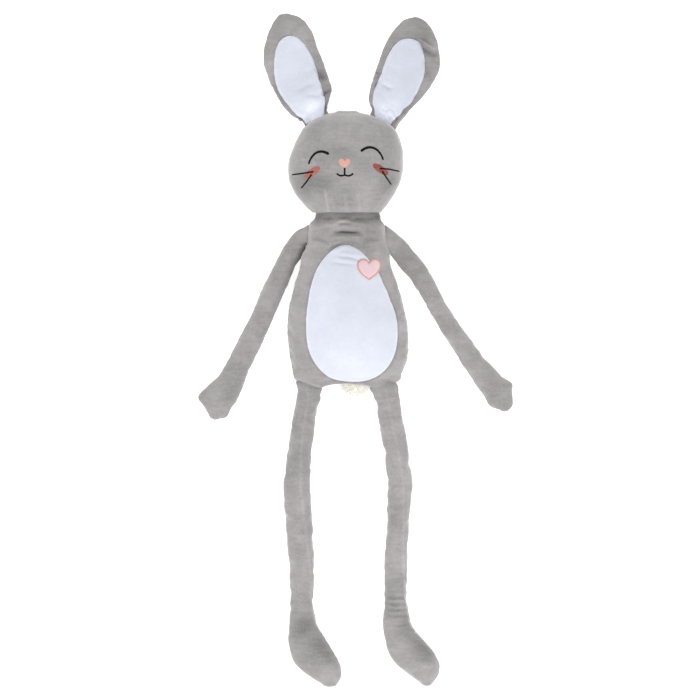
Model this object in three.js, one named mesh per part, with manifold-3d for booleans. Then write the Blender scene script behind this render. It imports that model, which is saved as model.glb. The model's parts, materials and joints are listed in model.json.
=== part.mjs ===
// Long-limbed stuffed bunny lying on its back, face up.
// Millimetres. +Z up out of the face, +Y toward the ears, +X across the toy toward its own left hand.
// The floor is Z = 0 and the origin is on the flat patch of the back, under the middle of the body.
import * as THREE from 'three';
import { mergeVertices } from 'three/addons/utils/BufferGeometryUtils.js';
import Module from 'manifold-3d';

const wasm = await Module();
wasm.setup();

// ---- driving dimensions ----
const FABRIC = 2.4;          // pile plus backing of one fabric wall
const GAP = 0.3;             // clearance kept between neighbouring pieces
const FILL_GAP = 1.9;        // the filling is drawn with fewer facets, so it stays this far inside the wall
const AROUND = 12;           // facets round a limb
const BODY_AROUND = 20;      // facets round the head and the torso
const HEAD_SEAM_Z = 56;      // height of the head's side seam over the floor
const NECK_Z = 44;           // height of the neck seam
const HIP_Z = 36;            // height of the seam the legs are sewn into
const SHOULDER_Z = 34;       // height of the seams the arms are sewn into
const EAR_TIP_Z = 5;         // the ears droop until their tips meet the floor
const APPLIQUE = 1.1;        // thickness of felt and of satin stitch
const TAIL = { x: 11, y: -91, z: 13.2, rx: 23, ry: 19.5, rz: 13 };
const BELLY = { x: 6.5, y: -17, halfWidth: 67, up: 126, down: 72, lean: -0.086 };
const HEART = { x: 30.5, y: 57.6, width: 35, height: 30.5 };

const GREY = { color: 0xa5a0a0, roughness: 0.95 };
const WHITE = { color: 0xe2e6f0, roughness: 0.95 };
const FILL = { color: 0xf4f3ef, roughness: 1.0 };
const BLACK = { color: 0x17150f, roughness: 0.55 };
const PINK = { color: 0xebc8ce, roughness: 0.7 };
const ROSE = { color: 0xd8978c, roughness: 0.5 };
const CORAL = { color: 0xbb7468, roughness: 0.5 };
const CREAM = { color: 0xe6e4d8, roughness: 1.0 };

// Each row of a loft is one cross-section: left edge x, y, right edge x, y,
// seam height, height over the seam, depth under it, roundness (2 is an ellipse, less is a lens).
const HEAD_ROWS = [
  [-16, 302.5, 14, 302.5, 56, 9, 9, 2],
  [-37, 297, 34, 297, 56, 22, 21, 2],
  [-51, 290, 50, 290, 56, 33, 31, 2],
  [-64, 279, 67, 279, 56, 44, 42, 2.1],
  [-74, 262, 75, 262, 56, 53, 51, 2.2],
  [-81, 245, 80, 245, 56, 57, 55, 2.2],
  [-86, 232, 80, 232, 56, 59, 57, 2.2],
  [-87, 219, 80, 219, 56, 60, 58, 2.2],
  [-86, 202, 77, 202, 56, 58, 57, 2.2],
  [-78, 184, 68, 184, 56, 52, 54, 2.1],
  [-64, 167, 57, 167, 56, 40, 46, 2],
  [-54, 158, 49, 158, 56, 27, 34, 2],
  [-47, 151, 45, 151, 56, 12, 18, 2],
];
const TORSO_ROWS = [
  [-46, 149.4, 45, 149.4, NECK_Z, 2.2, 2.2, 1.6],
  [-54, 139, 52, 139, 42, 12, 11, 1.5],
  [-57, 126, 54.5, 126, 38, 25, 20, 1.5],
  [-59, 109, 56, 109, 37, 38, 29, 1.6],
  [-66, 91, 60, 91, 39, 47, 36, 1.8],
  [-71, 71, 64, 71, 41, 53, 42, 2],
  [-77, 54, 71, 54, 42, 57, 45, 2.2],
  [-81, 36, 77, 36, 42, 60, 46, 2.2],
  [-86, 19, 81, 19, 42, 61, 46, 2.2],
  [-88, -3, 86, -3, 42, 62, 46, 2.2],
  [-88, -25, 88, -25, 42, 60, 45, 2.2],
  [-86, -42, 88, -42, 42, 55, 41, 2.1],
  [-84, -59, 86, -59, 41, 43, 30, 2],
  [-80, -77, 78, -77, 40, 24, 11, 1.8],
  [-76, -87, 72, -87, 38, 10, 6, 1.6],
  [-62, -93, 64, -93, 37, 6, 4, 1.6],
  [-41, -98.5, 36, -98.5, HIP_Z, 2.2, 2.2, 1.6],
];
const ARM_RIGHT_ROWS = [
  [-58.5, 142, -60.5, 111, SHOULDER_Z, 2.2, 2.2, 2],
  [-77, 128, -66, 103, 27, 9, 9, 2],
  [-94, 106, -73, 87, 20, 15, 15, 2],
  [-107, 80, -84, 59, 17.5, 17, 18, 2],
  [-125, 45, -98, 27, 17, 17, 18, 2],
  [-139, 10, -112, -6, 17, 16, 18, 2],
  [-158, -25, -128, -41, 17, 17, 18, 2],
  [-175, -59, -145, -75, 17, 17, 18, 2],
  [-187, -80, -151, -94, 17, 17, 18, 2],
  [-203, -94, -157, -109, 17, 17, 18, 2],
  [-215, -107, -162, -120, 16, 16, 17, 2],
  [-213, -119, -170, -129, 15, 14, 15, 2],
  [-206, -129, -177, -138, 14, 11, 12, 2],
  [-196, -139, -187, -142, 13, 5, 5, 2],
];
const ARM_LEFT_ROWS = [
  [60, 100, 56.5, 138, SHOULDER_Z, 2.2, 2.2, 2],
  [65, 90, 75, 123, 27, 9, 9, 2],
  [75, 76, 97, 99, 20, 15, 15, 2],
  [88, 62, 112, 80, 17.5, 16, 18, 2],
  [104, 38, 126, 56, 16.5, 16, 17, 2],
  [120, 10, 141, 26, 16, 15, 17, 2],
  [135, -16, 160, -4, 16.5, 16, 17, 2],
  [152, -42, 177, -26, 17, 17, 18, 2],
  [168, -68, 198, -56, 17, 17, 18, 2],
  [180, -86, 218, -75, 17, 17, 18, 2],
  [187, -97, 235, -91, 17, 17, 18, 2],
  [196, -109, 239, -104, 16, 15, 17, 2],
  [204, -120, 237, -117, 14.5, 12, 13, 2],
  [216, -130, 230, -129, 13, 6, 6, 2],
];
const LEG_RIGHT_ROWS = [
  [-78, -91, -44, -102.5, HIP_Z, 2.2, 2.2, 2],
  [-74, -105, -40, -110, 30, 9, 9, 2],
  [-75, -120, -42, -120, 23, 15, 15, 2],
  [-79, -140, -47, -140, 19, 17, 19, 2],
  [-87, -190, -54, -190, 18, 18, 19, 2],
  [-93, -240, -55, -240, 18, 18, 19, 2],
  [-91, -294, -52, -294, 18, 18, 19, 2],
  [-85, -355, -49, -355, 18, 18, 19, 2],
  [-83, -405, -50, -405, 18, 18, 19, 2],
  [-84, -442, -45, -442, 19, 19, 20, 2],
  [-86, -460, -32, -460, 20, 21, 21, 2.2],
  [-84, -477, -22, -477, 21, 22, 22, 2.2],
  [-80, -494, -13, -494, 21, 22, 22, 2.2],
  [-70, -506, -9, -506, 21, 20, 21, 2.2],
  [-54, -519, -9, -519, 21, 16, 17, 2],
  [-36, -529, -16, -529, 21, 7, 8, 2],
];
const LEG_LEFT_ROWS = [
  [37, -103.5, 71, -94.5, HIP_Z, 2.2, 2.2, 2],
  [36.5, -113, 73, -107, 30, 9, 9, 2],
  [40, -124, 76, -124, 23, 15, 15, 2],
  [44, -143, 80, -143, 19, 17, 19, 2],
  [53, -190, 87, -190, 18, 18, 19, 2],
  [58, -235, 93, -235, 18, 18, 19, 2],
  [57, -300, 88, -300, 17, 17, 18, 2],
  [54, -350, 86, -350, 17, 17, 18, 2],
  [55, -407, 86, -407, 17, 17, 18, 2],
  [52, -442, 91, -442, 18, 19, 19, 2],
  [54, -460, 106, -460, 20, 21, 21, 2.2],
  [57, -477, 122, -477, 21, 22, 22, 2.2],
  [65, -494, 132, -494, 21, 22, 22, 2.2],
  [77, -506, 134, -506, 21, 20, 21, 2.2],
  [93, -519, 130, -519, 21, 16, 17, 2],
  [108, -529, 121, -529, 21, 7, 8, 2],
];
// Ears are laid out flat at their seam height and sheared down to the floor afterwards.
const EAR_RIGHT_ROWS = [
  [-65, 287, -31, 302.5, 0, 1.5, 1.5, 2],
  [-79, 294, -30, 308, 0, 4, 4, 2],
  [-93, 306, -27, 318, 0, 5, 5, 2],
  [-103, 323, -24, 334, 0, 5, 5, 2],
  [-115, 345, -28, 354, 0, 5, 5, 2],
  [-121, 371, -36, 377, 0, 5, 5, 2],
  [-123, 393, -44, 396, 0, 5, 5, 2],
  [-117, 416, -51, 419, 0, 4.5, 4.5, 2],
  [-106, 436, -64, 436, 0, 4, 4, 2],
  [-97, 444, -77, 444, 0, 3, 3, 2],
];
const EAR_LEFT_ROWS = [
  [36, 301, 72.5, 282.5, 0, 1.5, 1.5, 2],
  [32, 309, 81, 292, 0, 4, 4, 2],
  [29, 321, 91, 305, 0, 5, 5, 2],
  [32, 339, 107, 320, 0, 5, 5, 2],
  [38, 358, 122, 340, 0, 5, 5, 2],
  [44, 376, 130, 358, 0, 5, 5, 2],
  [50, 394, 133, 381, 0, 5, 5, 2],
  [58, 410, 131, 405, 0, 4.5, 4.5, 2],
  [68, 424, 121, 425, 0, 4, 4, 2],
  [81, 436, 109, 436, 0, 3, 3, 2],
];
const LINING_RIGHT = [
  [-65, 399], [-83, 413], [-97, 398], [-107, 367], [-99, 341],
  [-78, 303], [-58, 297], [-36, 324], [-39, 348], [-50, 373],
];
const LINING_LEFT = [
  [74, 403], [59, 383], [46, 360], [37, 326], [42, 305],
  [67, 300], [101, 339], [110, 355], [111, 376], [88, 407],
];

// ---- section helpers ----
function mid(row) {
  return new THREE.Vector3((row[0] + row[2]) / 2, (row[1] + row[3]) / 2, row[4]);
}

function across(row) {
  return new THREE.Vector3(row[2] - row[0], row[3] - row[1], 0);
}

// One closed outline of a row, counted from its right edge over the top.
function outline(row, around) {
  const centre = mid(row);
  const half = across(row).multiplyScalar(0.5);
  const power = 2 / row[7];
  const ring = [];
  for (let i = 0; i < around; i += 1) {
    const angle = (i / around) * Math.PI * 2;
    const c = Math.cos(angle);
    const s = Math.sin(angle);
    const side = Math.sign(c) * Math.abs(c) ** power;
    const rise = Math.sign(s) * Math.abs(s) ** power * (s > 0 ? row[5] : row[6]);
    ring.push(centre.clone().addScaledVector(half, side).add(new THREE.Vector3(0, 0, rise)));
  }
  return ring;
}

// The same rows moved in (negative) or out (positive) by one distance.
function offsetRows(rows, by) {
  const kept = [];
  for (const row of rows) {
    const width = across(row).length() + 2 * by;
    const up = row[5] + by;
    const down = row[6] + by;
    if (width < 5 || up < 1 || down < 1) {
      continue;
    }
    const step = across(row).normalize().multiplyScalar(by);
    kept.push([row[0] - step.x, row[1] - step.y, row[2] + step.x, row[3] + step.y, row[4], up, down, row[7]]);
  }
  const last = kept.length - 1;
  const first = mid(kept[0]).sub(mid(kept[1])).setZ(0).normalize().multiplyScalar(by);
  const final = mid(kept[last]).sub(mid(kept[last - 1])).setZ(0).normalize().multiplyScalar(by);
  for (const [index, step] of [[0, first], [last, final]]) {
    kept[index][0] += step.x;
    kept[index][1] += step.y;
    kept[index][2] += step.x;
    kept[index][3] += step.y;
  }
  return kept;
}

// ---- solids ----
function solidFromRings(rings) {
  const count = rings[0].length;
  const points = rings.flat();
  const faces = [];
  for (let r = 0; r + 1 < rings.length; r += 1) {
    for (let i = 0; i < count; i += 1) {
      const a = r * count + i;
      const b = r * count + ((i + 1) % count);
      faces.push(a, b, b + count, a, b + count, a + count);
    }
  }
  for (const [ring, flip] of [[0, true], [rings.length - 1, false]]) {
    const hub = points.length;
    const centre = new THREE.Vector3();
    rings[ring].forEach((p) => centre.addScaledVector(p, 1 / count));
    points.push(centre);
    for (let i = 0; i < count; i += 1) {
      const a = ring * count + i;
      const b = ring * count + ((i + 1) % count);
      faces.push(...(flip ? [hub, b, a] : [hub, a, b]));
    }
  }
  return toSolid(points, faces);
}

function toSolid(points, faces) {
  let volume = 0;
  for (let f = 0; f < faces.length; f += 3) {
    const [a, b, c] = [points[faces[f]], points[faces[f + 1]], points[faces[f + 2]]];
    volume += a.dot(b.clone().cross(c));
  }
  const turned = faces.slice();
  if (volume < 0) {
    for (let f = 0; f < turned.length; f += 3) {
      [turned[f], turned[f + 1]] = [turned[f + 1], turned[f]];
    }
  }
  const vertProperties = new Float32Array(points.flatMap((p) => [p.x, p.y, p.z]));
  return new wasm.Manifold(new wasm.Mesh({ numProp: 3, vertProperties, triVerts: new Uint32Array(turned) }));
}

function solidFromGeometry(geometry) {
  geometry.deleteAttribute('normal');
  geometry.deleteAttribute('uv');
  const welded = mergeVertices(geometry, 1e-4);
  const position = welded.attributes.position;
  const points = [];
  for (let i = 0; i < position.count; i += 1) {
    points.push(new THREE.Vector3().fromBufferAttribute(position, i));
  }
  return toSolid(points, Array.from(welded.index.array));
}

function loft(rows, around) {
  return solidFromRings(rows.map((row) => outline(row, around)));
}

function block(low, high) {
  const size = [high[0] - low[0], high[1] - low[1], high[2] - low[2]];
  const geometry = new THREE.BoxGeometry(...size);
  geometry.translate((low[0] + high[0]) / 2, (low[1] + high[1]) / 2, (low[2] + high[2]) / 2);
  return solidFromGeometry(geometry);
}

const ABOVE_FLOOR = block([-600, -700, 0], [600, 700, 400]);

function prism(shape, low = -60, high = 160) {
  const geometry = new THREE.ExtrudeGeometry(shape, { depth: high - low, bevelEnabled: false, curveSegments: 5 });
  geometry.translate(0, 0, low);
  return solidFromGeometry(geometry);
}

// Everything on one side of the seam surface. turn swings that surface about the run of the limb.
function sideOfSeam(rows, side, turn) {
  const long = [...rows];
  const last = rows.length - 1;
  const extend = (from, to) => {
    const step = mid(rows[from]).sub(mid(rows[to])).setZ(0).normalize().multiplyScalar(20);
    const row = rows[from].slice();
    row[0] += step.x;
    row[2] += step.x;
    row[1] += step.y;
    row[3] += step.y;
    return row;
  };
  long.unshift(extend(0, 1));
  long.push(extend(last, last - 1));
  const rings = long.map((row, index) => {
    const along = THREE.MathUtils.clamp((index - 1) / last, 0, 1);
    const angle = turn(along);
    const u = across(row).normalize();
    const z = new THREE.Vector3(0, 0, 1);
    const out = u.clone().multiplyScalar(Math.cos(angle)).addScaledVector(z, Math.sin(angle));
    const up = z.clone().multiplyScalar(Math.cos(angle)).addScaledVector(u, -Math.sin(angle));
    const reach = Math.max(across(row).length() / 2, row[5], row[6]) + 5;
    const near = side * GAP / 2;
    const far = side * reach;
    return [[-reach, near], [reach, near], [reach, far], [-reach, far]].map(([a, b]) => (
      mid(row).addScaledVector(out, a).addScaledVector(up, b)
    ));
  });
  return solidFromRings(rings);
}

const LEVEL = () => 0;

// Fabric wall of a stuffed tube, cut into the two panels that are sewn together, and its filling.
function stuffedTube(rows, around, turn = LEVEL) {
  const outside = loft(rows, around).intersect(ABOVE_FLOOR);
  const hollow = loft(offsetRows(rows, -FABRIC), around);
  const inside = hollow.intersect(block([-600, -700, FABRIC], [600, 700, 400]));
  const wall = outside.subtract(inside);
  const fillRoom = loft(offsetRows(rows, -FABRIC - FILL_GAP), around * 0.75);
  const fillFloor = block([-600, -700, FABRIC + FILL_GAP], [600, 700, 400]);
  return {
    outside,
    front: wall.intersect(sideOfSeam(rows, 1, turn)),
    back: wall.intersect(sideOfSeam(rows, -1, turn)),
    filling: fillRoom.intersect(fillFloor),
  };
}

// A flat trim that hugs a stuffed surface: the skin between two offsets, cut to a shape.
function trim(rows, shape, low, high, from) {
  const skin = loft(offsetRows(rows, high), BODY_AROUND).subtract(loft(offsetRows(rows, low), BODY_AROUND));
  return skin.intersect(prism(shape, from, 160));
}

// ---- flat shapes ----
function ovalShape(x, y, rx, ry, tilt) {
  const shape = new THREE.Shape();
  shape.absellipse(x, y, rx, ry, 0, Math.PI * 2, false, tilt);
  return shape;
}

function eggShape(egg, grow) {
  const points = [];
  for (let i = 0; i < 32; i += 1) {
    const angle = (i / 32) * Math.PI * 2;
    const reach = Math.sin(angle) > 0 ? egg.up : egg.down;
    const y = (reach + grow) * Math.sin(angle);
    const x = (egg.halfWidth + grow) * Math.cos(angle) + egg.lean * y;
    points.push(new THREE.Vector2(egg.x + x, egg.y + y));
  }
  return new THREE.Shape(points);
}

// A heart standing on its tip.
function heartShape(x, tipY, width, height) {
  const w = width / 2;
  const shape = new THREE.Shape();
  const notch = tipY + height * 0.82;
  shape.moveTo(x, tipY);
  shape.bezierCurveTo(x - w * 0.5, tipY + height * 0.2, x - w, tipY + height * 0.4, x - w, tipY + height * 0.72);
  shape.bezierCurveTo(x - w, tipY + height * 1.05, x - w * 0.3, tipY + height * 1.12, x, notch);
  shape.bezierCurveTo(x + w * 0.3, tipY + height * 1.12, x + w, tipY + height * 1.05, x + w, tipY + height * 0.72);
  shape.bezierCurveTo(x + w, tipY + height * 0.4, x + w * 0.5, tipY + height * 0.2, x, tipY);
  return shape;
}

function roundedShape(points) {
  const curve = new THREE.CatmullRomCurve3(points.map(([x, y]) => new THREE.Vector3(x, y, 0)), true);
  return new THREE.Shape(curve.getPoints(30).slice(0, -1).map((p) => new THREE.Vector2(p.x, p.y)));
}

// A stitched line: a smooth run through points, startWidth wide at one end and endWidth at the other.
function strokeShape(points, startWidth, endWidth, steps) {
  const curve = new THREE.CatmullRomCurve3(points.map(([x, y]) => new THREE.Vector3(x, y, 0)));
  const left = [];
  const right = [];
  for (let i = 0; i <= steps; i += 1) {
    const t = i / steps;
    const p = curve.getPoint(t);
    const d = curve.getTangent(t);
    const half = THREE.MathUtils.lerp(startWidth, endWidth, t) / 2;
    left.push(new THREE.Vector2(p.x - d.y * half, p.y + d.x * half));
    right.push(new THREE.Vector2(p.x + d.y * half, p.y - d.x * half));
  }
  return new THREE.Shape([...left, ...right.reverse()]);
}

// ---- sub-parts: each returns a list of [name, solid, material] ----
function torso() {
  const tube = stuffedTube(TORSO_ROWS, BODY_AROUND);
  const heart = heartShape(HEART.x, HEART.y, HEART.width, HEART.height);
  const felt = heartShape(HEART.x, HEART.y + 3.2, HEART.width - 6, HEART.height - 5.6);
  const rim = heartShape(HEART.x, HEART.y + 2.8, HEART.width - 5.4, HEART.height - 5);
  return [
    ['torso_back_panel', tube.back, GREY],
    ['torso_front_panel', tube.front.subtract(prism(eggShape(BELLY, GAP), 36.1, 160)), GREY],
    ['belly_panel', tube.front.intersect(prism(eggShape(BELLY, 0), 36.1, 160)), WHITE],
    ['torso_stuffing', tube.filling, FILL],
    ['heart_applique', trim(TORSO_ROWS, felt, GAP, GAP + APPLIQUE, 60), PINK],
    ['heart_edge_stitch', trim(TORSO_ROWS, heart, GAP, GAP + APPLIQUE + 0.4, 60).subtract(prism(rim)), ROSE],
    ['tail_pompom', tail(), CREAM],
  ];
}

function tail() {
  const geometry = new THREE.IcosahedronGeometry(1, 2);
  geometry.scale(TAIL.rx, TAIL.ry, TAIL.rz);
  geometry.translate(TAIL.x, TAIL.y, TAIL.z);
  return solidFromGeometry(geometry).intersect(ABOVE_FLOOR);
}

function head() {
  const tube = stuffedTube(HEAD_ROWS, BODY_AROUND);
  const low = GAP;
  const high = GAP + APPLIQUE;
  const face = (shape) => trim(HEAD_ROWS, shape, low, high, 60);
  const over = (shape) => trim(HEAD_ROWS, shape, high + GAP, high + GAP + 0.9, 60);
  const stem = strokeShape([[-4.8, 221], [-4.8, 216], [-4.8, 211]], 2.6, 2.6, 2);
  const smile = strokeShape([[-16.4, 213], [-11, 209.4], [-4.8, 210.8], [1.4, 209.2], [8.3, 213.6]], 2.4, 2.4, 14);
  const eyeRight = [[-57.2, 225.5], [-54.5, 235], [-48, 242.4], [-41.5, 245], [-34.5, 244.4], [-28, 240]];
  const eyeLeft = [[50.9, 231.5], [47.5, 241], [40.6, 247.9], [32.2, 250.8], [24, 248.8], [18, 244]];
  return [
    ['head_back_panel', tube.back, GREY],
    ['face_panel', tube.front, GREY],
    ['head_stuffing', tube.filling, FILL],
    ['eye_stitch_right', face(strokeShape(eyeRight, 2.6, 4, 10)), BLACK],
    ['eye_stitch_left', face(strokeShape(eyeLeft, 2.6, 4, 10)), BLACK],
    ['nose_stitch', face(heartShape(-4.8, 221.8, 16.5, 13)), PINK],
    ['mouth_stitch', face(stem).add(face(smile)), BLACK],
    ['cheek_stitch_right', face(ovalShape(-51.8, 214.6, 13.4, 5.2, 0.58)), CORAL],
    ['cheek_stitch_left', face(ovalShape(47, 219, 13.4, 5.2, -0.58)), CORAL],
    ['whisker_upper_right', over(strokeShape([[-49.4, 215.5], [-82, 211.3]], 2.2, 2.2, 5)), BLACK],
    ['whisker_lower_right', over(strokeShape([[-52.2, 212], [-68, 191.4]], 2.2, 2.2, 5)), BLACK],
    ['whisker_upper_left', over(strokeShape([[45.1, 220.1], [75.5, 216]], 2.2, 2.2, 5)), BLACK],
    ['whisker_lower_left', over(strokeShape([[49, 217], [63.2, 196.3]], 2.2, 2.2, 5)), BLACK],
  ];
}

// An ear is two lined layers round a thin wadding. It is made flat, then sheared to droop from its seam.
function ear(side, rows, lining) {
  const outside = loft(rows, AROUND);
  const wall = outside.subtract(loft(offsetRows(rows, -1.6), AROUND));
  const front = wall.intersect(block([-200, 200, GAP / 2], [200, 500, 30]));
  const back = wall.intersect(block([-200, 200, -30], [200, 500, -GAP / 2]));
  const window = roundedShape(lining);
  const grown = roundedShape(lining.map((p, i) => spread(lining, i, GAP)));
  const wadding = loft(offsetRows(rows, -1.6 - GAP), AROUND);
  const droop = (solid) => shearToFloor(solid, rows);
  return [
    [`ear_back_panel_${side}`, droop(back), GREY],
    [`ear_border_${side}`, droop(front.subtract(prism(grown, -20, 30))), GREY],
    [`ear_lining_${side}`, droop(front.intersect(prism(window, -20, 30))), WHITE],
    [`ear_wadding_${side}`, droop(wadding), FILL],
  ];
}

function spread(points, index, by) {
  const centre = points.reduce((sum, p) => [sum[0] + p[0] / points.length, sum[1] + p[1] / points.length], [0, 0]);
  const dx = points[index][0] - centre[0];
  const dy = points[index][1] - centre[1];
  const length = Math.hypot(dx, dy);
  return [points[index][0] + (dx / length) * by * 1.6, points[index][1] + (dy / length) * by * 1.6];
}

function shearToFloor(solid, rows) {
  const base = mid(rows[0]);
  const normal = new THREE.Vector3(rows[0][1] - rows[0][3], rows[0][2] - rows[0][0], 0).normalize();
  const tip = mid(rows[rows.length - 1]).sub(base).dot(normal);
  const slope = (HEAD_SEAM_Z - EAR_TIP_Z) / tip;
  return solid.warp((v) => {
    const run = (v[0] - base.x) * normal.x + (v[1] - base.y) * normal.y;
    v[2] += HEAD_SEAM_Z - slope * run;
  });
}

function arm(side, rows) {
  const tube = stuffedTube(rows, AROUND);
  return [
    [`arm_front_panel_${side}`, tube.front, GREY],
    [`arm_back_panel_${side}`, tube.back, GREY],
    [`arm_stuffing_${side}`, tube.filling, FILL],
  ];
}

// A leg is sewn with its seams front and back at the hip. It rolls so that the foot lies on its side.
function leg(side, rows, names) {
  const roll = (along) => THREE.MathUtils.degToRad(THREE.MathUtils.lerp(90, 8, along ** 1.5));
  const tube = stuffedTube(rows, AROUND, roll);
  return [
    [`leg_${names[0]}_panel_${side}`, tube.front, GREY],
    [`leg_${names[1]}_panel_${side}`, tube.back, GREY],
    [`leg_stuffing_${side}`, tube.filling, FILL],
  ];
}

// Each body is a group standing at its joint, and its pieces are placed from there.
const NECK = new THREE.Vector3(0, 150.2, NECK_Z);

function seamMiddle(rows) {
  return mid(rows[0]);
}

function earBase(rows) {
  return mid(rows[0]).setZ(HEAD_SEAM_Z);
}

function toMesh(name, solid, look, pivot) {
  const mesh = solid.getMesh();
  const geometry = new THREE.BufferGeometry();
  geometry.setAttribute('position', new THREE.BufferAttribute(Float32Array.from(mesh.vertProperties), 3));
  geometry.setIndex(new THREE.BufferAttribute(Uint32Array.from(mesh.triVerts), 1));
  geometry.translate(-pivot.x, -pivot.y, -pivot.z);
  geometry.computeVertexNormals();
  const material = new THREE.MeshStandardMaterial({ color: look.color, roughness: look.roughness, metalness: 0 });
  const node = new THREE.Mesh(geometry, material);
  node.name = name;
  return node;
}

function addBody(parent, parentPivot, name, pivot, pieces) {
  const group = new THREE.Group();
  group.name = name;
  group.position.copy(pivot).sub(parentPivot);
  for (const [pieceName, solid, look] of pieces) {
    group.add(toMesh(pieceName, solid, look, pivot));
  }
  parent.add(group);
  return group;
}

const ORIGIN = new THREE.Vector3(0, 0, 0);
const bunny = new THREE.Group();
bunny.name = 'stuffed_bunny';
addBody(bunny, ORIGIN, 'torso', ORIGIN, torso());
const headGroup = addBody(bunny, ORIGIN, 'head', NECK, head());
for (const [side, rows, lining] of [['right', EAR_RIGHT_ROWS, LINING_RIGHT], ['left', EAR_LEFT_ROWS, LINING_LEFT]]) {
  addBody(headGroup, NECK, `ear_${side}`, earBase(rows), ear(side, rows, lining));
}
for (const [side, rows] of [['right', ARM_RIGHT_ROWS], ['left', ARM_LEFT_ROWS]]) {
  addBody(bunny, ORIGIN, `arm_${side}`, seamMiddle(rows), arm(side, rows));
}
for (const [side, rows, names] of [
  ['right', LEG_RIGHT_ROWS, ['outer', 'inner']],
  ['left', LEG_LEFT_ROWS, ['inner', 'outer']],
]) {
  addBody(bunny, ORIGIN, `leg_${side}`, seamMiddle(rows), leg(side, rows, names));
}

export default bunny;
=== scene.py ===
# %% [markdown]
# # A long-limbed stuffed bunny
# The toy lies on its back on a pale floor. It is sewn from short grey plush with a white belly,
# lined ears, an embroidered sleeping face and a pompom tail. The hard facts, where each stuffed
# part lies and how it turns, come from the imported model. This lesson gives it cloth: skins that are
# inflated with pressure and held at their seams, satin stitch, and fur.

# %% Load the frame
import json
import math
import bmesh
import bpy
import numpy as np
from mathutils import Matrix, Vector
from mathutils.bvhtree import BVHTree


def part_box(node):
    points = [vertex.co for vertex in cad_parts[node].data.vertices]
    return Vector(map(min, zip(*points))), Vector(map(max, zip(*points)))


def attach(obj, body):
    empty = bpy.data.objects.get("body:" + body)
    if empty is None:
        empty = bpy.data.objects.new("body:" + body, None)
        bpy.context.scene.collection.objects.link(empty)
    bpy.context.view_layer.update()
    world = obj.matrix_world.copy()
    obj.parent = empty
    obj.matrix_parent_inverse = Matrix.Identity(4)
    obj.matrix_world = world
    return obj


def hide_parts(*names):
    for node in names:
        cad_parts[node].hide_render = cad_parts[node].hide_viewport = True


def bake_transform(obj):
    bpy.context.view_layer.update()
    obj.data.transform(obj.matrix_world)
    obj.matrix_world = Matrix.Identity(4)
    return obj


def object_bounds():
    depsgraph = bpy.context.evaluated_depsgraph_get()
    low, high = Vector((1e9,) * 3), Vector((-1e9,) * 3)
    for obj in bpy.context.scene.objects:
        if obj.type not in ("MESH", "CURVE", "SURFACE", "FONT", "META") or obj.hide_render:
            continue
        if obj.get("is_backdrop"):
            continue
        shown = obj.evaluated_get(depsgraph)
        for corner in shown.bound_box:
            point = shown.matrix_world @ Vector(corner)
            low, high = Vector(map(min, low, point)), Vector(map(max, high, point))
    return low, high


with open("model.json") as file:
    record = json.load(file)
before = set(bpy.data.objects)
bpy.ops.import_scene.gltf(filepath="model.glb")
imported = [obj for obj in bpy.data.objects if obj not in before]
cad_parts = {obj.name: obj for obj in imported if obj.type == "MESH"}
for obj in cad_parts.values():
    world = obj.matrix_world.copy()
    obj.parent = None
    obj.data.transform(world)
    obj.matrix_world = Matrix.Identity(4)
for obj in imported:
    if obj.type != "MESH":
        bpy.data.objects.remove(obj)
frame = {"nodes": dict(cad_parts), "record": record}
cad_low, cad_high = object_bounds()
joints = {j["name"]: j for j in frame["record"]["behaviour"]["joints"]}
MM = 0.001
print("frame box in mm:", [round(v / MM) for v in (*cad_low, *cad_high)])

# %% [markdown]
# ## Camera and light
# Toys like this are pictured from straight above under big soft lamps. A long lens keeps the hands
# and feet from spreading. The light is a white room with the larger lamp beyond the feet, so that
# every roll of cloth has a lit side and a dim side without hard shadows. The floor glows a little, as
# a light table does, which keeps it white and lightens the undersides.

# %% Floor, camera and lamps
scene = bpy.context.scene
scene.view_settings.view_transform = "Standard"
scene.view_settings.look = "None"
VIEW_CENTRE = (2.9 * MM, -43.5 * MM)
VIEW_WIDTH = 1015 * MM
SILHOUETTE_HEIGHT = 35 * MM

floor_mesh = bpy.data.meshes.new("floor")
floor_mesh.from_pydata([(-6, -6, 0), (6, -6, 0), (6, 6, 0), (-6, 6, 0)], [], [(0, 1, 2, 3)])
floor = bpy.data.objects.new("floor", floor_mesh)
scene.collection.objects.link(floor)
floor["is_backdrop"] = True

camera_data = bpy.data.cameras.new("camera")
camera_data.lens = 600
camera_data.sensor_width = 36
camera = bpy.data.objects.new("camera", camera_data)
scene.collection.objects.link(camera)
scene.camera = camera
reach = VIEW_WIDTH / 2 / (camera_data.sensor_width / 2 / camera_data.lens)
camera.location = (*VIEW_CENTRE, SILHOUETTE_HEIGHT + reach)
print("camera height in m:", round(camera.location.z, 3))


def add_lamp(name, place, aim, size, watts):
    lamp_data = bpy.data.lights.new(name, "AREA")
    lamp_data.shape = "DISK"
    lamp_data.size = size
    lamp_data.energy = watts
    lamp = bpy.data.objects.new(name, lamp_data)
    scene.collection.objects.link(lamp)
    lamp.location = place
    lamp.rotation_mode = "QUATERNION"
    lamp.rotation_quaternion = (Vector(aim) - Vector(place)).to_track_quat("-Z", "Y")
    return lamp


add_lamp("lamp_from_feet", (0.45, -1.6, 2.3), (0, -0.1, 0), 1.0, 38)
add_lamp("lamp_over_head", (-0.9, 1.3, 1.9), (0, 0.1, 0), 0.9, 14)
world = bpy.data.worlds.new("room")
scene.world = world
world.use_nodes = True
world.node_tree.nodes["Background"].inputs["Color"].default_value = (1, 1, 1, 1)
world.node_tree.nodes["Background"].inputs["Strength"].default_value = 0.6

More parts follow.
